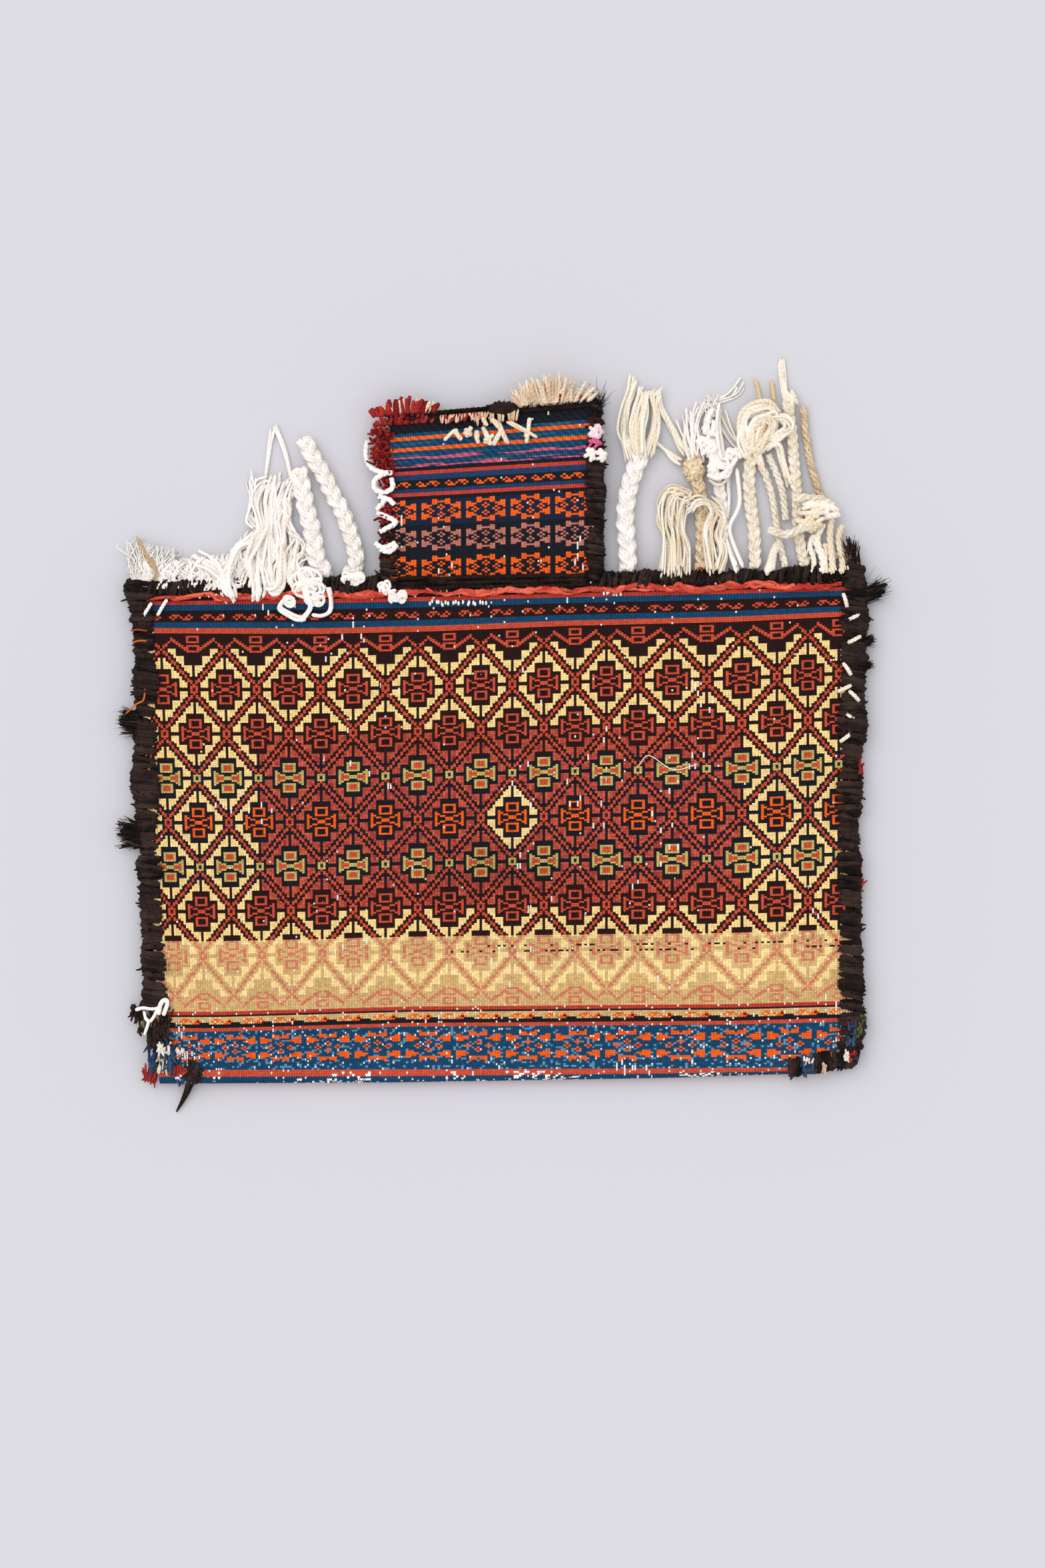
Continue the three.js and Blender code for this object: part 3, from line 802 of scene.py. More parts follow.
@dataclass(frozen=True)
class Dyes:
    """Colours of the weft."""

    yellow: Colour = dye(244, 208, 138)
    coral: Colour = dye(198, 90, 64)
    rose: Colour = dye(150, 50, 48)
    black: Colour = dye(38, 20, 20)
    navy: Colour = dye(24, 25, 34)
    red: Colour = dye(195, 75, 51)
    olive: Colour = dye(188, 170, 98)
    orange: Colour = dye(232, 92, 26)
    camel: Colour = dye(208, 172, 116)
    sand: Colour = dye(244, 212, 150)
    faded_red: Colour = dye(206, 116, 92)
    blue: Colour = dye(18, 66, 100)
    pale_blue: Colour = dye(92, 136, 166)
    teal: Colour = dye(44, 92, 104)
    dull_blue: Colour = dye(30, 58, 92)
    madder: Colour = dye(184, 60, 48)
    salmon: Colour = dye(182, 112, 96)
    pink: Colour = dye(190, 84, 108)
    ink: Colour = dye(24, 34, 56)
    warp: Colour = dye(248, 244, 236)
    brown: Colour = dye(70, 44, 36)


DYES = Dyes()


class Weave(Graph):
    """A finish of the cloth, counted in columns and steps of its threads."""

    def __init__(self, name: str) -> None:
        """Reads the thread map: whole columns across, half steps down, each stitch round at its ends.

        Args:
            name: of the finish.
        """
        super().__init__(name)
        self.u, self.v = self.thread()
        self.column = self.u.floor()
        self.across = self.u - self.column - 0.5
        bowed = self.v + self.across * self.across * 0.6
        self.row = (bowed * 2).floor() * 0.5 + 0.25
        self.along = (bowed - self.row) * 2
        self.chance = self.dice(self.column, self.row)

    def paint(self, layers: Sequence[tuple[Value, Tint]], ground: Tint) -> Tint:
        """Lays colours over a ground, the last on top.

        Args:
            layers: a mask and a colour for each.
            ground: the colour below them.

        Returns:
            The colour.
        """
        colour = ground
        for mask, above in layers:
            colour = self.blend(mask, colour, above)
        return colour

    def motif_s(self, pitch: int, middle: float, shift: int) -> Value:
        """A row of S figures: two diamonds, each a ring of four stitches, joined by a slanting line.

        Args:
            pitch: columns from one figure to the next.
            middle: the row's middle, in steps.
            shift: column of one figure's middle.

        Returns:
            The mask.
        """
        half = pitch // 2
        across = (self.column - shift + half) % pitch - half
        lift = (self.row - middle) * 2
        diamonds = (abs(abs(across) - 3) + abs(lift)).between(0.5, 1.5)
        return diamonds | (abs(across) < 2.5) & (abs(lift - 0.55 * across) < 0.5)

    def motif_star(self, pitch: float, middle: float, half: float, shift: float) -> Value:
        """A row of stars: bow ties above and below, stepped wings beside them, and four small rings.

        Args:
            pitch: columns from one star to the next.
            middle: the row's middle, in steps.
            half: half the star's height, in stitches.
            shift: column of one star's middle.

        Returns:
            The mask.
        """
        a = abs((self.column - shift + pitch / 2) % pitch - pitch / 2)
        b = abs(self.row - middle) * 2
        crown = (a < 3.7) & b.between(half - 2.05 - 0.25 * a, half - 1.1 + 0.37 * a)
        wing = a.between(3.7, 0.43 * pitch) & (abs(b - (half - 3.7)) < 0.45 * a - 1.32)
        upper = (a + abs(b - 2)).between(0.5, 1.5)
        side = (abs(a - 4) + b).between(0.5, 1.5)
        return crown | wing | upper | side

    def bare(self, flecks: float, runs: float) -> Value:
        """Where the warp shows: single stitches, and runs of three in worn patches, narrower than a column.

        Args:
            flecks: share of single stitches.
            runs: share of runs inside the worn patches.

        Returns:
            The mask.
        """
        patch = self.cloud(self.place(), 26.0, 3.0)
        single = self.dice(self.column + 0.5, self.row) < flecks
        run = (self.dice(self.column + 0.25, (self.row * 0.66).floor()) < runs) & (patch > 0.6)
        return (single | run) & (abs(self.across) < 0.3)

    def weave(self, colour: Tint, flecks: float, runs: float) -> Material:
        """Finishes the cloth: each stitch a little lighter or darker, ribs with painted shade in the valleys
        between ribs and weft passes, and bare warp where it is worn.

        Args:
            colour: the pattern.
            flecks: share of single stitches that are worn through.
            runs: share of longer worn runs.

        Returns:
            The material.
        """
        abrash = self.cloud(self.pair(self.column * 0.01, self.row * 0.11), 1.0)
        rib = 1 - self.across * self.across * 4
        ridge = 1 - self.along * self.along * 4
        # painted shade: rib and ridge darken each stitch towards its sides and ends, in the valleys between
        # ribs and weft passes; chance and abrash are the stitches' own tone
        amount = 0.75 + 0.34 * (self.chance - 0.5) + 0.3 * (abrash - 0.5) + 0.18 * rib + 0.26 * ridge
        coloured = self.shade(colour, amount)
        coloured = self.blend(self.bare(flecks, runs) * 0.9, coloured, DYES.warp)
        height = rib * 0.45 + ridge * 0.4 + self.chance * 0.15
        return self.finish(coloured, 0.92, height, 0.0006)


class FieldWeave(Weave):
    """The body's pattern: rows of rosettes in a lattice of red diagonal lines."""

    HALF = 12
    SLOPE = 0.835
    MEETS = 11.0
    FOLD = 36.0
    FADED_FROM = 68.2
    STITCHED_ROWS = (69.5, 73.0)
    CORAL_COLUMNS = (35.5, 216)
    CORAL_ROWS = (11.5, 60.5)
    ODD_COLUMN = 132

    def make(self) -> Material:
        """Paints the lattice, the rosettes, the strips at its edges and the faded band.

        Returns:
            The material.
        """
        self.lattice()
        outline, fill = self.rosette()
        red = self.row_red()
        line_red = abs(self.line) < 0.46
        line_dark = abs(self.line) < 1.65
        knot, knot_hole = self.crossing()
        strip = self.edge > -0.9
        ladder, chevron = self.edge_strip()
        faded = self.row > self.FADED_FROM
        dark = self.blend(abs(self.row - self.FOLD) < 17, DYES.black, DYES.navy)
        dark = self.blend(faded, dark, DYES.camel)
        lost = faded & (self.chance < 0.14)
        red = self.blend(lost, self.blend(faded, red, DYES.faded_red), DYES.camel)
        line = self.blend(lost, self.blend(faded, DYES.red, DYES.faded_red), DYES.camel)
        ground = self.blend(faded, self.ground(), DYES.sand)
        inner = self.edge < -6
        colour = self.paint([
            (line_dark, dark),
            (line_red, line),
            (self.dark_cross(), dark),
            (outline & inner, red),
            (fill & inner, self.blend(self.is_olive, dark, DYES.red)),
            (knot & inner, self.blend(self.is_olive, line, DYES.olive)),
            (knot_hole & inner, dark),
            (strip, dark),
            (ladder, red),
            (chevron, line),
        ], ground)
        stitched = self.row.between(*self.STITCHED_ROWS) & (self.chance < 0.22) & ((self.row * 2) % 3 < 1.2)
        stitched = stitched & (self.column > 100 + 60 * self.dice(self.row, 3.0))
        colour = self.blend(stitched, colour, DYES.black)
        stain = self.stain()
        colour = self.shade(colour, 1 - 0.45 * stain)
        return self.weave(colour, 0.003, 0.035)

    def lattice(self) -> None:
        """Works out each stitch's diamond, and its distance across and up or down from that diamond's middle.

        Diamonds of odd and even rows lie half a diamond apart. The sloping line between them is where
        the height from a middle and a share of the distance across add up to a constant.
        """
        half, full = self.HALF, 2 * self.HALF
        odd_across = abs((self.column + half) % full - half)
        odd_height = abs((self.row + half) % full - half)
        self.odd_across = odd_across
        self.line = odd_height + odd_across * self.SLOPE - self.MEETS
        self.odd = self.line < 0
        self.a = self.odd.choose(odd_across, half - odd_across)
        self.h = self.odd.choose(odd_height, half - odd_height)
        rank = ((self.row / half) + 0.5).floor() + 1
        self.is_olive = abs(abs(rank - 4) - 1) < 0.1
        self.is_orange = abs(rank - 4) < 0.1
        self.edge = abs(self.row - self.FOLD) - 4 * half

    def dark_cross(self) -> Value:
        """The rosette's dark ground: a stepped cross, bars to its sides and a stem up and down.

        Returns:
            The mask.
        """
        a, h = self.a, self.h
        cross = ((a < 3.5) & (h < 5.7)) | ((a < 6.5) & (h < 3.1)) | ((a < 9.5) & (h < 0.6))
        return cross | (a.between(9.4, 10.6) & (h < 1.4)) | ((a < 0.5) & h.between(5.6, 10.4))

    def rosette(self) -> tuple[Value, Value]:
        """The rosette's figure: a small square above and below a bow.

        Returns:
            The mask of its outlines and the mask of what they enclose.
        """
        a, h = self.a, self.h
        square = (a < 2.5) & h.between(1.5, 4.0)
        square_hole = (a < 1.5) & h.between(2.2, 3.3)
        top = 0.05 + 0.3 * a
        bow = (a < 5.5) & (h < top + 0.26)
        bow_hole = a.between(0.5, 4.5) & (h < top - 0.24)
        return (square & ~square_hole) | (bow & ~bow_hole), square_hole | bow_hole

    def crossing(self) -> tuple[Value, Value]:
        """Small rings where the diagonal lines cross.

        Returns:
            The mask of the rings and the mask of their holes.
        """
        beside, over = self.HALF - self.a, self.HALF - self.h
        ring = ((beside < 1.6) & (self.h < 0.95)) | ((self.a < 1.6) & (over < 0.95))
        hole = ((beside < 0.6) & (self.h < 0.4)) | ((self.a < 0.6) & (over < 0.4))
        return ring & ~hole, hole

    def edge_strip(self) -> tuple[Value, Value]:
        """The strip above the first row and below the last: small ladders, and zigzags between them.

        Returns:
            The mask of the ladders and the mask of the zigzags.
        """
        beside = self.HALF - self.odd_across
        q = self.edge
        rungs = q.between(0.5, 2.3) | q.between(-1.9, 0.05)
        holes = (beside < 1.5) & (q.between(0.95, 1.8) | q.between(-1.4, -0.45))
        rise = (self.odd_across * 0.68 - 1.27).least(1.6 - 0.56 * (self.odd_across - 4.2))
        zigzag = (abs(q - rise) < 0.42) & (self.odd_across < 9.5) & (q > -1.7)
        return (beside < 2.5) & rungs & ~holes, zigzag

    def row_red(self) -> Value:
        """Colour of the rosettes' outlines: olive or orange in the middle rows, red elsewhere."""
        red = self.blend(self.is_olive, DYES.red, DYES.olive)
        return self.blend(self.is_orange, red, DYES.orange)

    def ground(self) -> Value:
        """Colour between the rosettes: coral in the middle, with one yellow diamond, and yellow around.

        Returns:
            The colour.
        """
        middle = self.column.between(*self.CORAL_COLUMNS) & self.row.between(*self.CORAL_ROWS)
        beside, over = abs(self.column - self.ODD_COLUMN), abs(self.row - self.FOLD)
        odd_one = (beside < self.HALF) & (over < self.HALF) & ~self.odd
        coral = self.blend(self.dice(self.column, 7.0) * 0.5 + self.chance * 0.5, DYES.rose, DYES.coral)
        return self.blend(middle & ~odd_one, DYES.yellow, coral)

    def stain(self) -> Value:
        """A dark stain low in the middle: an oval that fades out, broken up by noise.

        Returns:
            How strong it is.
        """
        across = (self.u - 126) / 34
        along = (self.v - 50) / 9
        away = across * across + along * along
        return (1 - away).clamp(0.0, 1.0) * self.cloud(self.place(), 60.0)


class TopBandWeave(Weave):
    """The band under the shoulders: a dark row of S figures between blue and red lines."""

    def make(self) -> Material:
        """Paints the lines by their steps.

        Returns:
            The material.
        """
        figures = self.motif_s(12, -19.25, 8)
        colour = self.paint([
            (self.row.between(-23.6, -22.4), DYES.madder),
            (self.row.between(-22.4, -21.0), DYES.blue),
            (self.row.between(-17.8, -16.7), DYES.blue),
            (self.row > -16.7, DYES.red),
            (figures, DYES.red),
        ], DYES.black)
        return self.weave(colour, 0.01, 0.03)


class BorderWeave(Weave):
    """The bands above the bottom fold: narrow lines, then a wide blue band of stars."""

    def make(self) -> Material:
        """Paints the bands by their steps.

        Returns:
            The material.
        """
        wave = (self.column * (2 * math.pi / 13)).sine() * 0.45 + 90.15
        figures = self.motif_s(13, 89.75, 6)
        stars = self.motif_star(19.0, 97.75, 8.0, 100.0)
        blue = self.row.between(92.4, 103.8)
        worn = self.cloud(self.place(), 20.0)
        colour = self.paint([
            (self.row < 88.0, DYES.madder),
            (self.row.between(88.7, wave), DYES.camel),
            (figures & (self.row < 91.4), DYES.orange),
            (self.row.between(91.5, 92.4), DYES.red),
            (blue, self.blend(self.dice(self.column, self.row * 2) > 0.82, DYES.blue, DYES.pale_blue)),
            (stars & blue, DYES.orange),
            (self.row.between(103.8, 105.6), DYES.red),
            (self.row > 105.6, DYES.blue),
            ((self.row > 104.6) & (self.dice(self.column, self.row * 3) < 0.26) & (worn > 0.53),
             DYES.warp),
        ], DYES.navy)
        return self.weave(colour, 0.045, 0.2)


class NeckWeave(Weave):
    """The neck: three rows of stars, a row of S figures, and stripes up to the mouth."""

    STAR_ROWS = ((4.75, DYES.orange), (12.75, DYES.salmon), (20.25, DYES.orange))
    STRIPES = (
        (24.3, 25.5, DYES.madder), (25.5, 26.6, DYES.dull_blue), (29.1, 30.3, DYES.dull_blue),
        (30.3, 31.6, DYES.madder), (32.4, 33.4, DYES.pink), (33.4, 34.7, DYES.blue),
        (34.7, 35.6, DYES.pink), (35.6, 37.0, DYES.blue), (37.0, 38.2, DYES.orange),
        (38.2, 40.1, DYES.blue), (40.0, 41.1, DYES.orange), (41.1, 42.0, DYES.blue),
    )

    def make(self) -> Material:
        """Paints the rows by their steps up from the shoulders, with painted light and shade of twisted yarn
        on the top stripes.

        Returns:
            The material.
        """
        layers = [(self.row.between(16.5, 23.4), DYES.ink)]
        for middle, colour in self.STAR_ROWS:
            layers.append((self.motif_star(17.0, middle, 6.5, 105.0), colour))
        mix = self.cloud(self.pair(self.u * 0.05, self.v * 1.5), 1.0)
        for low, high, colour in self.STRIPES:
            shade = colour
            if colour is DYES.blue:
                shade = self.blend(mix > 0.58, colour, DYES.teal)
            elif colour is DYES.pink:
                shade = self.blend(mix > 0.5, DYES.dull_blue, colour)
            layers.append((self.row.between(low, high), shade))
        layers.append((self.motif_s(11, 27.75, 133), DYES.orange))
        # painted light and shade of twisted yarn: diagonal lighter and darker bands over the stripes above
        # step 32
        twist = (self.u * 2.1 + self.v * 3.0).sine() * (self.row > 32)
        return self.weave(self.shade(self.paint(layers, DYES.navy), 1 + 0.28 * twist), 0.004, 0.05)


class BackWeave(Weave):
    """The back: plain weave in broad stripes."""

    def make(self) -> Material:
        """Paints stripes that repeat every so many steps.

        Returns:
            The material.
        """
        stripe = self.row % 34
        colour = self.paint([
            (stripe.between(3, 9), DYES.madder),
            (stripe.between(9, 10.5), DYES.camel),
            (stripe.between(17, 19), DYES.dull_blue),
            (stripe.between(19, 27), DYES.brown),
            (stripe.between(27, 29), DYES.dull_blue),
        ], DYES.black)
        return self.weave(colour, 0.002, 0.03)


@dataclass
class Cloth:
    """The woven strip: front, bottom fold and back with both sides of the neck, one sheet of ribbed cloth."""

    plan: Plan
    first_column: int = -8
    last_column: int = 258
    neck_first: int = 86
    neck_last: int = 164
    step: float = 2.31
    row_one: float = 246.96
    top: float = -26.4
    band_end: float = -15.2
    field_end: float = 87.0
    neck_steps: float = 45.0
    neck_rows: int = 19
    lower_line: float = 92.0
    fold_line: float = 104.6
    rib: float = 0.2
    crown: float = 0.9
    wall: float = 2.3
    column_places: tuple = (
        (0, -209.6), (48, -131.5), (96, -50.0), (144, 29.4), (180, 88.6), (204, 131.9), (228, 176.4),
        (250, 212.0))
    upper_sway: tuple = (
        (-219, -0.8), (-111, -1.3), (-39, 0.4), (44, 3.8), (149, 6.3), (217, 9.7))
    fold_sway: tuple = ((-195, -3.0), (-60, -2.2), (110, 0.6), (184, 3.0))
    lower_sway: tuple = ((-181, -3.4), (-55, 0.0), (148, 1.3), (212, 2.9))
    corner_start: float = 200.0
    corner_width: float = 25.0
    corner_rise: float = 12.0
    corner_height: float = 36.0
    lean_height: float = 218.4
    lean_columns: float = 72.0

    def columns(self) -> Array:
        """Two points for each column, in its valley and on its rib."""
        count = 2 * (self.last_column - self.first_column) + 1
        return np.linspace(self.first_column, self.last_column, count)

    def across(self, u: Array, y: Array) -> Array:
        """Place of a column at a height: columns spread between known ones, and lean with the left edge.

        Args:
            u: columns.
            y: heights, in millimetres.

        Returns:
            x, in millimetres.
        """
        left = self.plan.left_x(self.lean_height)
        right = self.plan.right_x(self.lean_height)
        known = ((self.first_column, left), *self.column_places, (self.last_column, right))
        x = np.interp(u, [k for k, _ in known], [p for _, p in known])
        lean = self.plan.left_x(y) - left
        share = np.clip((self.lean_columns - u) / (self.lean_columns - self.first_column), 0, 1)
        return x + lean * share

    def down(self, u: Array, v: Array) -> Array:
        """Height of a step at a column: even steps, swayed as the cloth's lines sway.

        Args:
            u: columns.
            v: steps down from the first row of rosettes.

        Returns:
            y, in millimetres.
        """
        even = self.row_one - self.step * v
        x = self.across(u, np.full_like(even, self.lean_height))
        top_sway = self.plan.shoulder_y(x) - (self.row_one - self.step * self.top)
        upper = np.interp(x, *zip(*self.upper_sway))
        lower = np.interp(x, *zip(*self.lower_sway))
        to_upper = np.clip((v - self.top) / (self.band_end - self.top), 0, 1)
        to_lower = np.clip((v - self.band_end) / (self.lower_line - self.band_end), 0, 1)
        to_fold = np.clip((v - self.lower_line) / (self.fold_line - self.lower_line), 0, 1)
        sway = top_sway * (1 - to_upper) + upper * to_upper
        sway = sway * (1 - to_lower) + lower * to_lower
        return even + sway * (1 - to_fold)

    def relief(self, u: Array, x: Array, y: Array) -> Array:
        """Height of the front over a flat sheet: ribs, a low crown and slow waves.

        Args:
            u: columns.
            x, y: places in plan.

        Returns:
            The heights.
        """
        ribs = -self.rib * np.cos(2 * np.pi * u)
        share = np.clip(1 - (2 * x / self.plan.body_width) ** 2, 0, 1)
        waves = 0.3 * np.sin(x / 23 + y / 51) + 0.3 * np.sin(x / 61 - y / 33 + 1.3)
        waves = waves + 0.2 * np.sin(y / 17 + x / 90)
        return ribs + self.crown * share + waves * share

    def body(self) -> tuple[Array, Array, Array, Array]:
        """The body's grid: rows from the front's shoulder down, round the fold and up the back.

        Returns:
            Points (rows, columns, 3), steps of each row, columns, and the zone of each row of faces.
        """
        plan = self.plan
        bend = plan.stack / 2
        front_end = (self.row_one - bend) / self.step
        fold_end = front_end + math.pi * bend / self.step
        back_end = fold_end + (front_end - self.top)
        bands = (
            (self.top, self.band_end, 5, Zone.TOP_BAND),
            (self.band_end, self.field_end, 30, Zone.FIELD),
            (self.field_end, front_end, 7, Zone.BORDER),
            (front_end, (front_end + fold_end) / 2, 4, Zone.BORDER),
            ((front_end + fold_end) / 2, fold_end, 4, Zone.BACK),
            (fold_end, back_end, 14, Zone.BACK),
        )
        steps = np.concatenate([np.linspace(a, b, n, endpoint=False) for a, b, n, _ in bands] + [[back_end]])
        zones = np.concatenate([np.full(n, zone.value) for _, _, n, zone in bands])
        u, v = np.meshgrid(self.columns(), steps)
        mirrored = np.where(v > fold_end, front_end - (v - fold_end), np.minimum(v, front_end))
        y = self.down(u, mirrored)
        x = self.across(u, y)
        turn = np.clip((v - front_end) / (fold_end - front_end), 0, 1) * math.pi
        lift = self.relief(u, x, y) * np.cos(turn / 2) * np.clip((y - bend) / 25, 0.15, 1)
        radius = bend + self.rib * -np.cos(2 * np.pi * u)
        z = bend + radius * np.cos(turn)
        y = np.where((turn > 0) & (turn < math.pi), bend - radius * np.sin(turn), y)
        z = np.maximum(z + np.where(turn < math.pi, lift, 0), 0.02)
        y = y + np.interp(x, *zip(*self.fold_sway)) * np.clip((7 - y) / 6, 0, 1)
        rise = self.corner_rise * np.clip((x - self.corner_start) / self.corner_width, 0, 1) ** 2
        y = y + rise * np.clip(1 - y / self.corner_height, 0, 1)
        return np.stack([x, y, z], axis=-1), steps, self.columns(), zones

    def neck(self, base: Array, columns: Array, front: bool) -> tuple[Array, Array]:
        """One side of the neck: rows from the shoulder's own points up to the mouth.

        Args:
            base: the body's points along the foot of the neck.
            columns: their columns.
            front: the front, and not the back.

        Returns:
            Points (rows, columns, 3) with the base as the first row, and the steps of each row.
        """
        steps = np.linspace(0, self.neck_steps, self.neck_rows)
        share = (steps / self.neck_steps)[:, None]
        mouth_x = self.plan.neck_left + (columns - self.neck_first) / (self.neck_last - self.neck_first) * (
            self.plan.neck_right - self.plan.neck_left)
        x = base[None, :, 0] * (1 - share) + mouth_x * share
        y = base[None, :, 1] * (1 - share) + self.plan.mouth_y(mouth_x) * share
        flat = self.plan.stack if front else 0.02
        ribs = -self.rib * np.cos(2 * np.pi * columns)
        waves = 0.35 * np.sin(x / 19 + y / 15)
        lift = ribs + (0.5 + waves if front else 0.2)
        z = base[None, :, 2] * (1 - share) ** 6 + (flat + lift) * (1 - (1 - share) ** 6)
        return np.stack([x, y, np.maximum(z, 0.02)], axis=-1), steps

    def build(self) -> Piece:
        """Joins the grids into one sheet, gives it its thickness and its finishes.

        Returns:
            The cloth.
        """
        body, steps, columns, zones = self.body()
        rows, width = body.shape[:2]
        index = np.arange(rows * width).reshape(rows, width)
        first = 2 * (self.neck_first - self.first_column)
        last = 2 * (self.neck_last - self.first_column) + 1
        neck_columns = columns[first:last]
        points = [body.reshape(-1, 3)]
        faces = [ring_faces(index)]
        maps = [grid_map(columns, steps)]
        marks = [np.repeat(zones, width - 1)]
        total = rows * width
        for row, front in ((0, True), (rows - 1, False)):
            grid, neck_steps = self.neck(body[row, first:last], neck_columns, front)
            fresh = np.arange((len(grid) - 1) * len(neck_columns)).reshape(-1, len(neck_columns)) + total
            neck_index = np.vstack([index[row, first:last], fresh])
            order = slice(None, None, -1) if front else slice(None)
            points.append(grid[1:].reshape(-1, 3))
            faces.append(ring_faces(neck_index[order]))
            maps.append(grid_map(neck_columns, neck_steps[order]))
            zone = Zone.NECK if front else Zone.BACK
            marks.append(np.full(len(faces[-1]), zone.value))
            total += fresh.size
        weaves = (TopBandWeave("top_band_weave"), FieldWeave("field_weave"), BorderWeave("border_weave"),
                  BackWeave("back_weave"), NeckWeave("neck_weave"))
        cloth = mesh_piece("woven_cloth_front_and_back", self.plan.to_frame(np.concatenate(points)), faces,
                           np.concatenate(maps), [w.make() for w in weaves], np.concatenate(marks))
        solid = cloth.modifiers.new("thickness", "SOLIDIFY")
        solid.thickness = self.wall * MM
        solid.offset = -1
        return cloth


def ring_faces(index: Array) -> Array:
    """Quads of a grid of point numbers, down each row and then across, so that they face up on the front."""
    return np.stack([index[:-1, :-1], index[1:, :-1], index[1:, 1:], index[:-1, 1:]], axis=-1).reshape(-1, 4)


def grid_map(columns: Array, steps: Array) -> Array:
    """Thread map of a grid's quads, corner by corner, in the order of ring_faces.

    Args:
        columns: columns of the grid.
        steps: steps of the grid.

    Returns:
        Column and step of each corner.
    """
    u, v = np.meshgrid(columns, steps)
    threads = np.stack([u, v], axis=-1)
    corners = [threads[:-1, :-1], threads[1:, :-1], threads[1:, 1:], threads[:-1, 1:]]
    return np.stack(corners, axis=2).reshape(-1, 2)


# Bindings


@dataclass
class WoundBinding:
    """Hair yarn wound over both layers along an edge, with loose hair standing off it."""

    plan: Plan
    name: str
    start: tuple[float, float]
    end: tuple[float, float]
    out: float
    reach: float
    rng: Rng
    pitch: float
    thick: float
    shifts: Sequence[tuple[float, float]]
    yarn: Yarn = HAIR
    slant: float = 4.0
    uneven: float = 0.16
    hairs: float = 3.5
    hair_length: float = 2.4
    locks: float = 1.6
    steps: int = 12

    def loops(self) -> Array:
        """Turns of yarn: one profile over the front, round the edge and under, carried along the edge.

        Returns:
            (turns, steps, 3) lines.
        """
        top = self.plan.binding_height - self.thick * 0.7
        profile = smooth(
            [(-self.reach, self.plan.stack + 1.0), (-0.5 * self.reach, top - 0.7), (0.1 * self.out, top),
             (0.72 * self.out, 0.76 * top), (self.out - self.thick, 0.45 * top), (0.72 * self.out, 0.2 * top),
             (0.2 * self.out, self.thick)], self.steps)
        start, along, outward, length = self.edge()
        count = max(int(length / self.pitch), 2)
        place = (np.arange(count) + 0.5) / count * length + self.rng.normal(0, 0.4, count)
        knots = np.arange(-10, length + 30, 9.0)
        bulge = np.interp(place, knots, self.rng.normal(0, self.uneven, len(knots)))[:, None]
        size = 1 + bulge + self.rng.uniform(-0.12, 0.12, (count, 1))
        shares, shifts = np.array(self.shifts).T
        sideways = profile[None, :, 0] * size + np.interp(place / length, shares, shifts)[:, None]
        lift = profile[None, :, 1] * (1 + 0.5 * bulge) + self.rng.normal(0, 0.5, (count, 1))
        lift = np.maximum(lift, self.thick * 0.8)
        lean = self.slant * self.rng.uniform(-0.5, 2.0, (count, 1)) * np.linspace(-0.5, 0.5, self.steps)
        flat = start + along * (place[:, None] + lean)[..., None] + outward * sideways[..., None]
        return np.concatenate([flat, lift[..., None]], axis=-1)

    def edge(self) -> tuple[Array, Array, Array, float]:
        """The edge as a start and a direction.

        Returns:
            Its start, its direction, the way out from it, on the left of that direction, and its length.
        """
        start = np.array(self.start)
        way = np.array(self.end) - start
        length = float(np.linalg.norm(way))
        along = way / length
        return start, along, np.array([-along[1], along[0]]), length

    def loose(self, loops: Array, count: int, reach: float, curl: float, steps: int) -> Array:
        """Hairs on the turns: each starts on a turn, mostly follows it, and has a bend that grows along it.

        Args:
            loops: the turns.
            count: how many hairs.
            reach: usual length.
            curl: how far a hair bends, as a share of its length.
            steps: points on each hair.

        Returns:
            (count, steps, 3) lines.
        """
        outward = self.edge()[2]
        turn = self.rng.integers(0, len(loops), count)
        at = self.rng.integers(1, loops.shape[1] - 2, count)
        share = at / loops.shape[1]
        off = np.stack([outward[0] * share, outward[1] * share, 0.8 - share], axis=-1)
        root = loops[turn, at] + off * self.thick * 0.7
        round_turn = unit(loops[turn, at + 1] - loops[turn, at - 1]) * self.rng.choice([-1, 1], (count, 1))
        way = unit(round_turn + 0.16 * off + self.rng.normal(0, 0.25, (count, 3)))
        bend = self.rng.normal(0, 1, (count, 3)) * curl
        size = (reach * self.rng.uniform(0.35, 1.4, count))[:, None, None]
        hairs = bent(root, way, size, bend, steps)
        hairs[..., 2] = np.clip(hairs[..., 2], 0.15, self.plan.binding_height + 5)
        return hairs

    def build(self, dyer: Dyer) -> Piece:
        """Makes the binding's turns, its locks and its hair as one piece.

        Args:
            dyer: makes the yarn's material.

        Returns:
            The piece.
        """
        skein = Skein(self.rng)
        loops = self.loops()
        _, along, _, length = self.edge()
        count = len(loops)
        thick = self.thick * self.rng.uniform(0.7, 1.2, (count, self.steps)) * round_ends(self.steps)
        skein.add(loops, thick, self.rng.uniform(0.0, 0.5, count), 6, lead=(*along, 0.0))
        locks = self.loose(loops, int(self.locks * length), self.hair_length, 0.4, 5)
        skein.add(locks, 0.6 * round_ends(5, 0.5), self.rng.uniform(0.0, 0.7, len(locks)), 4)
        hairs = self.loose(loops, int(self.hairs * length), self.hair_length, 0.6, 4)
        skein.add(hairs, 0.13 * taper(4), self.rng.uniform(0.2, 1.0, len(hairs)), 3)
        return skein.build(self.name, self.plan, dyer.get(self.yarn))


# Fringe and tufts


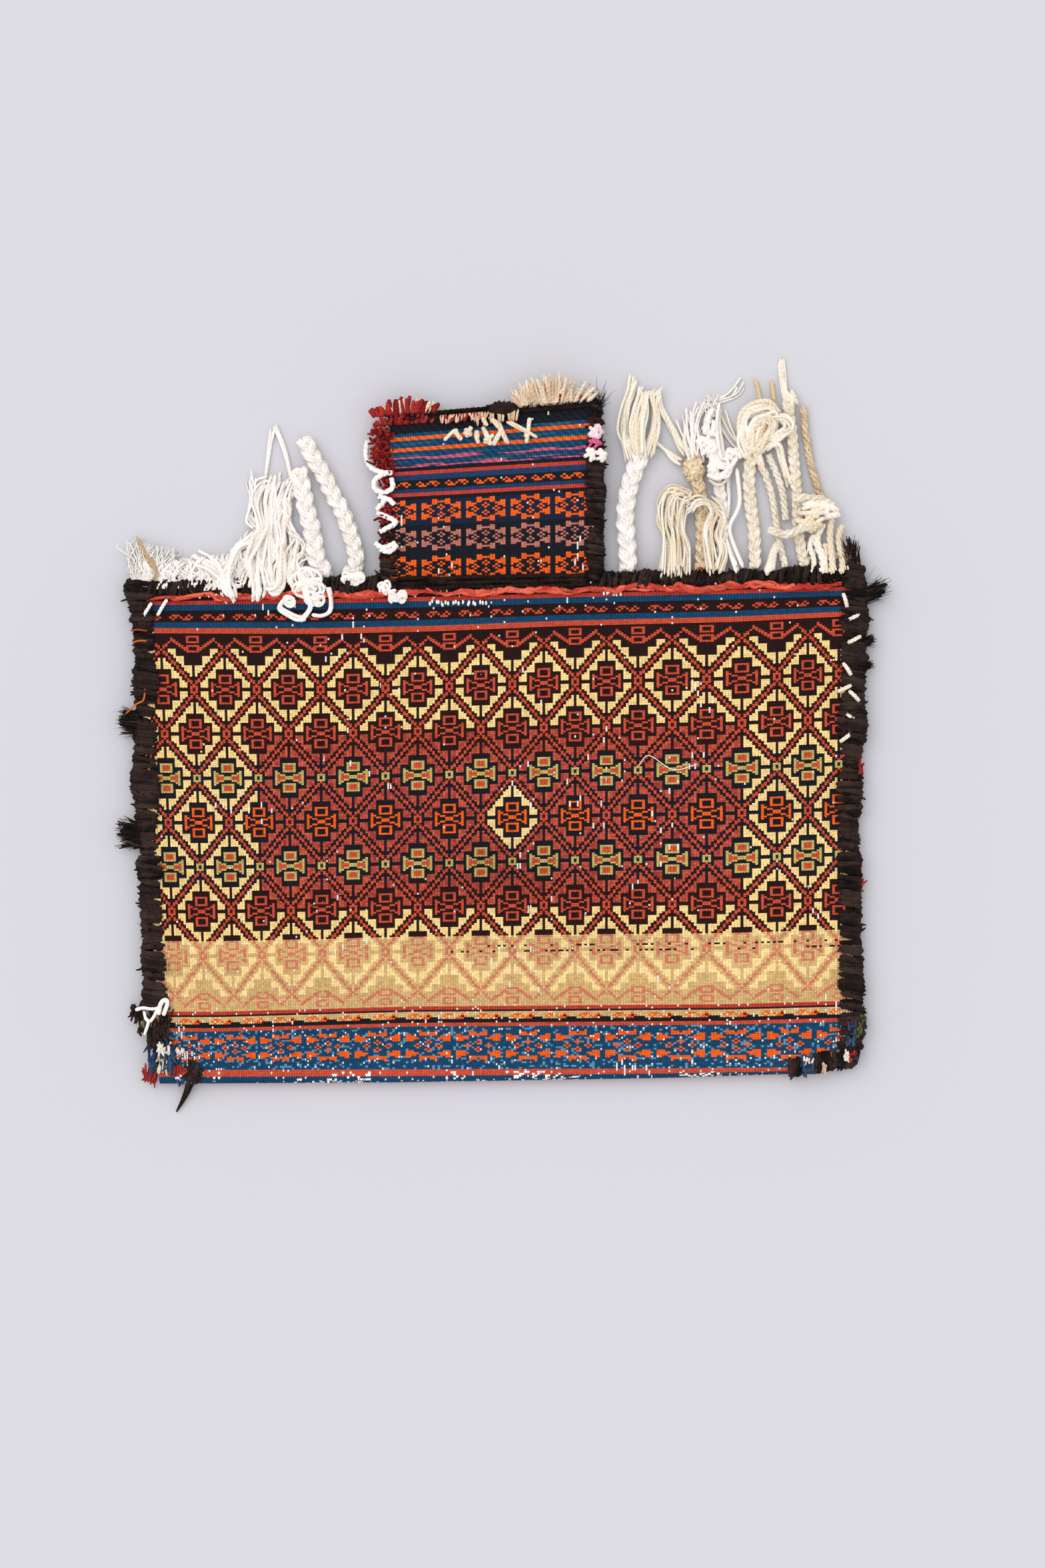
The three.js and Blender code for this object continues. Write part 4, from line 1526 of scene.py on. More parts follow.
@dataclass
class Spray:
    """A bundle of loose strands from a line of roots to a line of tips, lying on the floor or on the bag."""

    roots: tuple[Point, Point]
    tips: tuple[Point, Point]
    count: int
    radius: float = 0.75
    wander: float = 2.5
    shorten: float = 0.35
    pile: float = 4.0
    curl: float = 0.6
    steps: int = 18

    def lines(self, rng: Rng) -> Array:
        """Each strand's line: from its root to its tip, with slow waves, coming down to what it lies on.

        Args:
            rng: random numbers.

        Returns:
            (count, steps, 3) lines.
        """
        n, each = self.count, (self.count, 1, 1)
        share = np.linspace(0, 1, n)[:, None] + rng.normal(0, 0.06, (n, 1))
        low, high = np.array(self.roots)
        root = low + (high - low) * np.clip(share, -0.03, 1.03)
        cross = np.clip(share + rng.normal(0, 0.16, (n, 1)), -0.05, 1.05)
        low, high = np.array(self.tips)
        tip = low + (high - low) * cross
        t = np.linspace(0, 1, self.steps)[None, :, None]
        reach = 1 - self.shorten * rng.random(each) ** 2
        lines = root[:, None] + (tip - root)[:, None] * t * reach
        ahead = unit((tip - root)[:, :2].mean(axis=0))
        sideways = np.array([ahead[1], -ahead[0], 0.0])
        wave = rng.normal(0, 1, each) * np.sin(np.pi * t * rng.uniform(0.6, 1.6, each))
        wave = wave + 0.4 * rng.normal(0, 1, each) * np.sin(2 * np.pi * t + 6 * rng.random(each))
        lines = lines + sideways * (wave * self.wander * t)
        turn = 2 * np.pi * t * rng.uniform(1.0, 3.5, each) + 6 * rng.random(each)
        loop = self.curl * rng.random(each) * np.clip(4 * t, 0, 1)
        lines = lines + sideways * loop * np.sin(turn) + np.array([*ahead, 0.0]) * 0.5 * loop * np.cos(turn)
        height = tip[:, 2:3] + self.radius + self.pile * rng.random((n, 1)) ** 1.5
        settle = np.clip(t[..., 0] * 2.5, 0, 1)
        settle = settle * settle * (3 - 2 * settle)
        lines[..., 2] = root[:, 2:3] * (1 - settle) + height * settle
        return lines

    def add_to(self, skein: Skein, tones: Tones = (0.35, 1.0)) -> None:
        """Adds the strands to a skein, each with a tone between the two given."""
        thick = self.radius * skein.rng.uniform(0.75, 1.2, (self.count, 1)) * round_ends(self.steps)
        skein.add(self.lines(skein.rng), thick, skein.rng.uniform(*tones, self.count), 5)


@dataclass
class Tuft:
    """Hairs or stubs of yarn that stand out from one place."""

    root: Point
    way: Point
    length: float
    count: int
    radius: float = 0.2
    spread: float = 0.35
    root_size: Point = (2.0, 2.0, 1.5)
    curl: float = 0.3
    steps: int = 6
    sides: int = 4
    tip: float = 0.15
    ceiling: float = 26.0

    def add_to(self, skein: Skein, tones: Tones = (0.0, 0.6), finish: int = 0) -> None:
        """Adds the hairs: each leaves a spot near the root, roughly along the way, and bends as it goes.

        Args:
            skein: what they are added to.
            tones: darkest and lightest.
            finish: which finish they take.
        """
        rng, n = skein.rng, self.count
        root = np.array(self.root) + np.clip(rng.normal(0, 0.5, (n, 3)), -1, 1) * np.array(self.root_size)
        way = unit(unit(np.array(self.way, dtype=float)) + rng.normal(0, self.spread, (n, 3)))
        bend = rng.normal(0, self.curl, (n, 3))
        size = (self.length * rng.uniform(0.55, 1.0, n))[:, None, None]
        lines = bent(root, way, size, bend, self.steps)
        lines[..., 2] = np.clip(lines[..., 2], self.radius, self.ceiling)
        thick = self.radius * rng.uniform(0.7, 1.2, (n, 1)) * taper(self.steps, self.tip)
        skein.add(lines, thick, rng.uniform(*tones, n), self.sides, finish)


# Braids


class Lay(Enum):
    """How a cord's yarns are laid."""

    PLAIT = "plait"
    ROPE = "rope"


@dataclass
class Braid:
    """A cord of warp ends that leaves a shoulder and lies free: three plaited strands, or a twisted rope."""

    name: str
    share: float
    route: Points
    radius: float
    side: Side = Side.RIGHT
    yarn: Yarn = COTTON
    slot: str = "white_cotton"
    lay: Lay = Lay.PLAIT
    from_shoulder: bool = True
    height: Optional[float] = None
    straight: float = 2.0

    def path(self, plan: Plan, count: int) -> Array:
        """The cord's middle line: out of the binding at half its height, then down to lie flat.

        Args:
            plan: the bag's plan.
            count: points on the line.

        Returns:
            (count, 3) points.
        """
        x, y, half = plan.on_shoulder(self.side, self.share)
        rest = self.radius + plan.clearance if self.height is None else self.height
        points = [(x, y, half), (x, y + self.straight, half)] if self.from_shoulder else []
        for dx, dy, *z in self.route:
            points.append((x + dx, y + dy, z[0] if z else rest))
        return smooth(points, count)

    def build(self, plan: Plan, dyer: Dyer, rng: Rng) -> tuple[Piece, Array]:
        """Makes the cord, with a few broken fibres along it.

        Args:
            plan: the bag's plan.
            dyer: makes the yarn's material.
            rng: random numbers.

        Returns:
            The piece, and its middle line.
        """
        count = max(int(length_of(self.path(plan, 60)) / 1.1), 24)
        path = self.path(plan, count)
        skein = Skein(rng)
        radius = self.radius
        if self.lay is Lay.PLAIT:
            plies = plaited(path, radius, 4.6 * radius)
            yarns = wound(plies, 4, 0.235 * radius, 4.2 * radius)
            thick = 0.25 * radius
        else:
            plies = wound(path[None], 3, 0.46 * radius, 5.0 * radius)
            yarns = wound(plies, 3, 0.22 * radius, 3.2 * radius)
            thick = 0.24 * radius
        yarns[..., 2] = np.maximum(yarns[..., 2], thick)
        skein.add(yarns, thick * round_ends(count), rng.uniform(0.6, 1.0, len(yarns)), 6)
        skein.add(self.fibres(path, rng), 0.12 * taper(4), rng.uniform(0.5, 1.0, 3 * count), 3)
        return skein.build(self.name, plan, dyer.get(self.yarn)), path

    def fibres(self, path: Array, rng: Rng) -> Array:
        """Broken fibres: each starts on the cord's skin and drifts along and a little off it.

        Args:
            path: the cord's middle line.
            rng: random numbers.

        Returns:
            (3 * points, 4, 3) lines.
        """
        count = 3 * len(path)
        at = rng.integers(4, len(path) - 4, count)
        along, across, above = (way[at] for way in frames(path))
        turn = rng.uniform(-0.4, math.pi + 0.4, (count, 1))
        out = np.cos(turn) * across + np.sin(turn) * above
        t = np.linspace(0, 1, 4)[None, :, None]
        drift = along * rng.uniform(-3, 3, (count, 1)) + np.cross(along, out) * rng.uniform(-1, 1, (count, 1))
        away = 0.85 * self.radius + rng.uniform(0.2, 1.5, (count, 1, 1)) * t
        lines = path[at][:, None] + out[:, None] * away + drift[:, None] * t
        lines[..., 2] = np.maximum(lines[..., 2], 0.2)
        return lines


LEFT_BRAIDS = (
    Braid("left_braid_1", 0.258, (
        (-1.5, 5, 6), (-4.9, 10), (-6.6, 20.9), (-8.7, 31.4), (-11.6, 42.3), (-13.7, 52.8), (-16.6, 68)),
        5.9, Side.LEFT),
    Braid("left_braid_2", 0.155, (
        (2.2, 5, 5.8), (3.6, 10), (1.6, 20.5), (-1.7, 31), (-5.9, 41.9), (-11.8, 52.4), (-16.9, 63.4),
        (-23.5, 74.3), (-29.9, 86.9)), 5.5, Side.LEFT),
)
ROPE_SHARE = 0.81
RIGHT_BRAIDS = (
    Braid("right_braid_1", 0.131, (
        (-0.3, 6, 6.3), (-0.8, 17), (-2, 34), (0.1, 51), (4.5, 65), (8.3, 74)), 6.0),
    Braid("right_braid_2", 0.412, (
        (0.2, 5, 5.5), (0.6, 10, 4.8), (0.8, 24.5), (-0.5, 44), (-2.6, 58)), 4.5,
        yarn=TAN, slot="tan_cotton"),
    Braid("right_braid_3", 0.481, (
        (0.6, 5, 5.2), (1.5, 10, 4.3), (2.5, 24.5), (1.2, 45), (-1.3, 57.7), (-3.4, 72.8),
        (-5.1, 93.8)), 4.0),
    Braid("right_braid_4", 0.62, (
        (0, 5, 5.3), (-0.1, 10, 4.5), (-0.6, 24), (-3.2, 43.3), (-3.8, 60), (-1.9, 73)), 4.2, yarn=IVORY),
    Braid("right_braid_5", 0.734, (
        (-0.8, 5, 4.6), (-1.8, 10, 3.1), (-4.4, 23.8), (-7.7, 44.4), (-11.5, 57.2), (-12.9, 62.5)), 2.8,
        lay=Lay.ROPE, yarn=IVORY),
    Braid("right_braid_6", ROPE_SHARE, (
        (-11.5, 29.8), (-12.4, 37.6), (-13.5, 46.4), (-16, 55.5), (-18.7, 61.9), (-23, 71.5)), 2.8,
        lay=Lay.ROPE, from_shoulder=False, yarn=IVORY),
    Braid("right_braid_7", ROPE_SHARE, (
        (-0.7, 5, 5), (-1.6, 10, 4), (-4, 26), (-4.4, 43.9), (-6.5, 67.2), (-7.8, 85),
        (-10.9, 105.6)), 3.7, yarn=IVORY),
    Braid("right_braid_8", ROPE_SHARE, (
        (12.2, 43), (9, 49), (3.8, 67.2), (2.2, 77), (0.6, 87), (-0.6, 101.6)), 2.8, yarn=TAN,
        slot="tan_cotton", lay=Lay.ROPE, from_shoulder=False),
)
TIED_ROPE = Braid("right_tied_rope", ROPE_SHARE, (
    (-23.3, 23.3), (-11.7, 20.4), (-1.1, 24.7), (8.3, 27.5)), 3.2, yarn=IVORY, lay=Lay.ROPE,
    from_shoulder=False, height=11.2)
TIED_LOOP = Braid("right_tied_loop", ROPE_SHARE, (
    (-8, 43), (0, 43.5), (6, 43.2, 10.3), (12, 41.8, 9.2), (17.8, 37.5, 7.2)), 3.2, yarn=IVORY, lay=Lay.ROPE,
    from_shoulder=False, height=11.2)


# Studio


@dataclass(frozen=True)
class Studio:
    """The pale floor, the soft light and the camera, which looks straight down."""

    view_height: float = 988.3
    aim: tuple[float, float] = (11.3, -25.1)
    cloth_level: float = 10.4
    lens: float = 85.0
    sensor: float = 36.0
    floor_colour: Colour = dye(203, 202, 208)
    floor_half: float = 30.0
    sky: float = 0.95
    sun: float = 1.02
    sun_spread: float = 60.0

    def build(self) -> None:
        """Makes the floor, the lights and the camera."""
        graph = Graph("studio_floor")
        self.paint_floor(graph)
        corners = self.floor_half * np.array([[-1, -1, 0], [1, -1, 0], [1, 1, 0], [-1, 1, 0]])
        floor = mesh_piece("studio_floor", corners, [np.array([[0, 1, 2, 3]])], np.zeros((4, 2)),
                           [graph.material], np.zeros(1))
        self.light()
        self.camera()

    def paint_floor(self, graph: Graph) -> None:
        """A matt floor whose colour hardly changes.

        Args:
            graph: the floor's node tree.
        """
        tint = graph.cloud(graph.place(), 3.0)
        pale = tuple(0.995 * part for part in self.floor_colour)
        graph.feed(graph.shader.inputs["Base Color"], graph.blend(tint, pale, self.floor_colour))
        graph.shader.inputs["Roughness"].default_value = 1.0
        graph.shader.inputs["Specular IOR Level"].default_value = 0.0

    def light(self) -> None:
        """A bright sky all round and one wide soft sun from the upper left."""
        world = bpy.data.worlds.new("studio_sky")
        world.use_nodes = True
        world.node_tree.nodes["Background"].inputs[0].default_value = (1, 1, 1, 1)
        world.node_tree.nodes["Background"].inputs[1].default_value = self.sky
        bpy.context.scene.world = world
        sun = bpy.data.lights.new("studio_sun", "SUN")
        sun.energy = self.sun
        sun.angle = math.radians(self.sun_spread)
        lamp = bpy.data.objects.new("studio_sun", sun)
        lamp.rotation_euler = (math.radians(-22), math.radians(-24), 0)
        bpy.context.scene.collection.objects.link(lamp)

    def camera(self) -> None:
        """A long lens straight above, whose frame is the view's height at the level of the cloth."""
        eye = bpy.data.cameras.new("studio_camera")
        eye.lens = self.lens
        eye.sensor_fit = "VERTICAL"
        eye.sensor_height = self.sensor
        eye.sensor_width = self.sensor
        stand = bpy.data.objects.new("studio_camera", eye)
        height = self.view_height * self.lens / self.sensor + self.cloth_level
        stand.location = (self.aim[0] * MM, self.aim[1] * MM, height * MM)
        bpy.context.scene.collection.objects.link(stand)
        bpy.context.scene.camera = stand
        bpy.context.scene.view_settings.view_transform = "Standard"


# Where yarns lie

# Points from the braid's tip, and how many yarns follow them
BRAID_1_END = (
    (((-6, -3, 0), (-9, 6, 2), (-11, 15, 0), (-9.8, 28, -1), (-6.3, 39, -3), (-4.2, 47, -4)), 11),
    (((-3, -2, 3), (-5.6, 14, 3), (-3.5, 27, 1), (-1, 36, 0), (1, 41, -2)), 11),
    (((0, -2, 3), (0, 14, 4), (1.4, 27, 2), (3, 39, -1)), 11),
    (((4, -2, 1), (8.4, 13, 1), (9.1, 25, 0), (7.7, 36, -1), (9.8, 40, -2)), 11),
    (((10, 39, -1), (12, 29, -3), (17, 20, -4), (24, 7, -3), (28, -1, -2)), 7),
    (((7, 8, -3), (14, 3, -4), (21, -3, -3), (25, -6, -1)), 4),
)

# Points from the knot, and how many yarns follow them
BRAID_2_END = (
    (((-2.8, 5, 2), (-5.6, 18, -1), (-7, 30, -2)), 8),
    (((-1, 5, 3), (-2, 21, 0), (-3.5, 36, -3)), 8),
    (((2.8, 5, 2), (2, 19, -1), (0, 30, -2), (4.2, 40, -3)), 8),
    (((0, 30, -2), (4.2, 40, -3), (14, 43, -3.5), (22, 46, -4), (28, 54, -4)), 6),
)

# Points, how many yarns follow them, and a yarn's radius
BRAID_4_KNOT = (
    (((160.7, 394, 5), (156.5, 406, 6), (157.5, 417, 8), (163.5, 423, 9), (173, 424, 8),
      (177, 420, 7)), 16, 1.2),
    (((161.4, 396, 7), (161.4, 406, 9), (163.5, 414, 11), (170.5, 418, 12), (176, 415, 10),
      (174.7, 408, 7)), 11, 1.2),
    (((163.5, 398, 6), (166, 408, 9), (170.5, 416, 9)), 8, 1.4),
    (((165, 398, 6), (170.5, 406, 8), (174, 413, 8)), 8, 1.3),
    (((173, 416, 9), (182, 417, 10), (186, 411, 10), (180, 406, 8), (171, 400, 6)), 9, 1.1),
    (((166, 396, 6), (172, 398, 6), (177.5, 401, 7), (181.7, 390, 4), (185.5, 376, 2.5)), 5, 1.4),
    (((163, 396, 6), (167, 391, 5), (169.5, 384, 3.5)), 4, 1.6),
    (((141, 423, 1.5), (145.3, 411.6, 1.5), (152.3, 400.4, 2.5), (160, 397.6, 6)), 3, 0.9),
)

# Points, how many yarns follow them, and a yarn's radius
LEFT_BUNDLE = (
    (((-143, 377, 2), (-149, 374, 2), (-151, 363, 3), (-149, 347, 6), (-150, 330, 8),
      (-142, 311, 15)), 13, 0.85),
    (((-132, 378, 2), (-136, 368, 2), (-137.5, 354, 4), (-136, 337, 6), (-142, 323, 9),
      (-140, 310, 15)), 12, 0.95),
    (((-140, 380, 2), (-143, 366, 3), (-143, 352, 5), (-144, 338, 7), (-146, 322, 10),
      (-146, 309, 15)), 12, 1.0),
    (((-128, 374, 3), (-133, 364, 3), (-132, 350, 4), (-125, 340, 4), (-129, 328, 6),
      (-128, 314, 13)), 8, 0.85),
    (((-148, 346, 6), (-154, 340, 6), (-163, 335, 6), (-168, 323, 9), (-171, 311, 15),
      (-167, 304, 15)), 12, 1.15),
    (((-148, 346, 6), (-151.5, 336, 7), (-155, 325, 9), (-150, 313, 14), (-151, 305, 15)), 11, 1.25),
    (((-143, 344, 5), (-141, 333, 6), (-146, 322, 9), (-143, 310, 15), (-136, 310, 15),
      (-135, 322, 10), (-136, 335, 6)), 7, 1.3),
    (((-132, 344, 3), (-122, 340, 3), (-121, 333, 4), (-125, 328, 6), (-123, 318, 10)), 8, 0.9),
    (((-154, 378, 1.5), (-154, 365, 1.5), (-156, 353, 2), (-149, 346, 5)), 6, 0.7),
    (((-190, 328, 3), (-179, 323, 6), (-170, 313, 13), (-166, 304, 15)), 14, 1.1),
)

# Points of the long threads over the left bundle
LEFT_THREADS = (
    ((-147, 372, 3), (-143, 396, 2), (-140, 411, 1.2)),
    ((-139, 413, 1.2), (-133, 396, 2), (-127, 372, 4)),
)

# Points, how many yarns follow them, and a yarn's radius
RIGHT_BUNDLE = (
    (((121, 369, 8), (110.5, 371, 6), (105, 362.5, 4), (104, 351, 4), (107, 339, 6),
      (106, 319, 13)), 11, 0.75),
    (((121, 368, 9), (114, 368, 8), (111, 357, 6), (112, 343, 6), (112, 319, 13)), 11, 0.75),
    (((121, 367, 10), (118, 362, 9), (117, 348, 8), (120, 334, 8), (119, 320, 13)), 11, 0.75),
    (((122, 360, 10), (128, 365, 12), (134, 364, 10), (137.5, 357, 8), (134, 347, 7),
      (136, 321, 13)), 11, 0.75),
    (((135, 361, 9), (143, 354, 7), (141, 344, 7), (144, 333, 8), (140, 321, 13)), 10, 0.75),
    (((148, 384, 4), (148.8, 362.6, 3), (146, 348.6, 4), (148, 337, 5), (154, 321, 12)), 4, 1.2),
    (((137.6, 423, 3), (134, 416, 5), (135.5, 407, 6), (133.4, 399, 7), (137, 390.6, 8),
      (136, 381, 8)), 5, 1.7),
    (((140, 423, 3), (140.4, 411.6, 5), (141, 399, 7), (144, 392, 7), (150, 395, 6)), 6, 1.2),
    (((136, 382, 9), (141, 379, 9), (148, 383, 8), (150, 390, 6)), 4, 1.3),
)

# Middle of each small knot, and its radius
RIGHT_KNOTS = (
    ((149.8, 394.5, 5), 4.2), ((130, 402, 4), 3.4), ((135.5, 411, 6), 4.4),
    ((134.5, 398, 8), 4.8), ((139, 386, 9), 5),
)

# Where each cut rope lies across, where it ends, and its radius
ROPE_ENDS = (
    (204.5, 351, 2.7), (211.5, 356, 2.4), (217.5, 350, 2.2), (208, 338, 1.8), (199.5, 344, 1.8),
)

# Middle of each knot, its radii, how many loops it has, and a loop's radius
CORNER_KNOTS = (
    ((202, 360, 8), (9, 6.5, 4.5), 8, 1.9), ((211, 358, 7), (5, 5, 4), 5, 1.7),
    ((197, 350.5, 9.5), (8, 4.5, 3.6), 7, 1.6),
)

# Middle of each knot, its radii, and how many loops it has
HANGING_KNOTS = (
    ((-119, 312, 15.2), (12, 10, 2.4), 26), ((-113.5, 302, 14.8), (7.5, 6, 2), 10),
    ((-131, 301, 14.6), (5.5, 4.5, 1.6), 6), ((-90, 315.5, 14.4), (8.5, 5, 2), 13),
)

# Points, and how many yarns follow them
HANGING_THREADS = (
    (((-133, 303, 15), (-136, 297, 14), (-130.5, 293.3, 12.8), (-125, 290.5, 12.8),
      (-120, 290, 13)), 2),
    (((-106, 311, 15), (-104, 302.4, 14.6), (-104.6, 295.4, 13), (-109.5, 292.6, 12.8),
      (-115, 293, 13.4)), 2),
    (((-121, 316, 15), (-119, 305, 16.5), (-116.5, 297, 14.5), (-122, 288.4, 12.9)), 5),
)

# Top and foot of each big stitch
MOUTH_STITCHES = (
    (-26.3, 409, -32.4, 403), (-25.8, 409, -23, 404), (-19.7, 411, -15.5, 405.7), (-15.5, 411, -18.3, 406),
    (-12.6, 409, -11.7, 402), (-8.4, 411, -4.1, 400), (-2.7, 406, -6.5, 401.5), (3.9, 411, -2.2, 400),
    (1.5, 414, 7.7, 400), (6.7, 413, 26, 405.3), (21, 416, 18.5, 403.4), (-3.2, 417, 2, 411),
    (-9.8, 416.6, -5.5, 412),
)

# Points of the lacing, from the neck's left edge
LACING_RUNS = (
    ((-14, 403, 6), (-15, 394, 6), (-12, 386, 9), (-5, 382.5, 12.5), (2, 382, 12.4)),
    ((-2, 382, 12.4), (-9, 378, 11), (-9, 372, 11), (-3, 370, 12.6), (2, 373, 12.6), (1, 379, 12.4)),
    ((-7, 367.5, 11), (0, 365, 12.8), (3, 362, 12.4)),
    ((-2, 366, 12.8), (-8, 359, 10)),
    ((-8, 357, 9), (-3, 355, 12.6), (4, 351, 12.6), (-2, 347, 12.6), (-6, 345, 10)),
    ((-9, 338, 10), (-4, 335, 13), (4, 338, 12.8)),
    ((-6, 334, 12), (0, 332.5, 13), (5, 337, 12.8)),
)

# Each tuft's side, its share of the body's height, and its length
SIDE_TUFTS = (
    ("left_side_tuft_upper", Side.LEFT, 0.73, 9.0),
    ("left_side_tuft_lower", Side.LEFT, 0.5, 13.0),
    ("right_corner_tuft", Side.RIGHT, 0.985, 15.0),
    ("right_side_tuft_upper", Side.RIGHT, 0.89, 6.0),
    ("right_side_tuft_lower", Side.RIGHT, 0.84, 5.0),
)

# Each stitch's share of the body's height, how far in it lies, and its turn
REPAIRS = (
    (0.98, 6, 0.3), (0.945, 1, -1.15), (0.9, 0, -1.06), (0.84, 4.5, 0.6), (0.8, 6, -1.1), (0.785, 0, 0.8),
    (0.743, 2.5, 0.95), (0.7, 5, -0.9),
)

# Points of the corner's lashing, and a yarn's radius
LASHING = (
    (((-226.7, 43.4, 11), (-221.8, 45, 14), (-216.9, 44.6, 15), (-212.4, 45.6, 15),
      (-209, 49.6, 14.5)), 0.9),
    (((-221.8, 43, 14), (-220.3, 39, 15), (-218.3, 36, 15.5), (-220.8, 28, 13)), 0.85),
    (((-212.4, 44.5, 15), (-214.9, 40, 15.5), (-218.3, 36, 15.5)), 0.95),
    (((-212, 41, 14), (-210.5, 47.8, 15.5), (-208, 50.2, 15), (-206.5, 47.8, 15),
      (-209, 40.5, 14)), 1.35),
)

# Yarn, middle, half width and half length of each patch, and how many pairs of yarns it has
RAGS = (
    (BLUE, (-213.5, 18, 9.5), (5.4, 10), 36), (BLUE, (-207, 14, 12.2), (4, 8), 20),
    (COTTON, (-209, 20, 13), (3.6, 2.8), 9), (COTTON, (-199, 18.2, 12), (2.2, 1.4), 4),
    (CREAM, (-210, 11.5, 12), (2.4, 5.4), 4),
    (RED, (-218.4, 4.4, 7), (4.2, 4), 12), (RED, (-200, 6, 12), (5, 2.4), 7),
    (BLUE, (-196, 1, 9), (8, 3.2), 12), (HAIR, (-190, 4, 11), (4.6, 5), 14),
    (HAIR, (-212.5, 31, 12), (7, 9.5), 30), (HAIR, (-226.5, 41, 7), (3.2, 3.8), 14),
    (OLIVE, (-221.8, 34.4, 8), (1.8, 3), 5), (HAIR, (-224, 31, 7), (1.8, 2), 6),
    (BLUE, (223.4, 32.8, 14.4), (3.4, 2.5), 5), (BLUE, (222.2, 25, 14.4), (3, 2.3), 5),
    (OLIVE, (228.5, 31.5, 13), (2, 3), 4), (RED, (222, 36.8, 14.2), (3, 1.1), 4),
    (OLIVE, (231, 38.2, 12), (2, 1.7), 4), (BLUE, (196, 10.7, 13.6), (4.2, 4.8), 7),
    (COTTON, (196.5, 11.5, 14.6), (3, 2), 3), (RED, (224.5, 16.5, 14), (2, 1.6), 3),
    (COTTON, (220.6, 15.3, 14.4), (1.6, 2.4), 4), (ORANGE, (223, 13.6, 14.2), (1.6, 1.4), 3),
    (BLUE, (226.4, 14, 13.6), (1.2, 1.2), 3), (CREAM, (206.3, 8.4, 13.6), (0.9, 3), 2),
    (RED, (229.4, 195, 8), (1.4, 14.7), 6), (RED, (229.6, 130, 8), (1.4, 12.6), 5),
)

# Yarn and points of the threads over the left binding
THREADS_OVER = (
    (RED, ((-230, 283, 9), (-225, 283.4, 14.8), (-219.5, 282.6, 14))),
    (ORANGE, ((-228.5, 275.5, 11), (-224, 276.4, 15.2), (-219.8, 276.2, 14.2))),
    (ORANGE, ((-220.7, 246, 14), (-221.6, 239, 15.4), (-226, 236.4, 15.8), (-233.6, 230.2, 10))),
)

# Left and right end of each row of nubs, its height, and how many it has
NUBS = (
    (-42, -6, 300.5, 18), (68, 78, 306, 6), (-186, -134, 304.5, 12), (96, 110, 310, 5),
)


# The whole bag


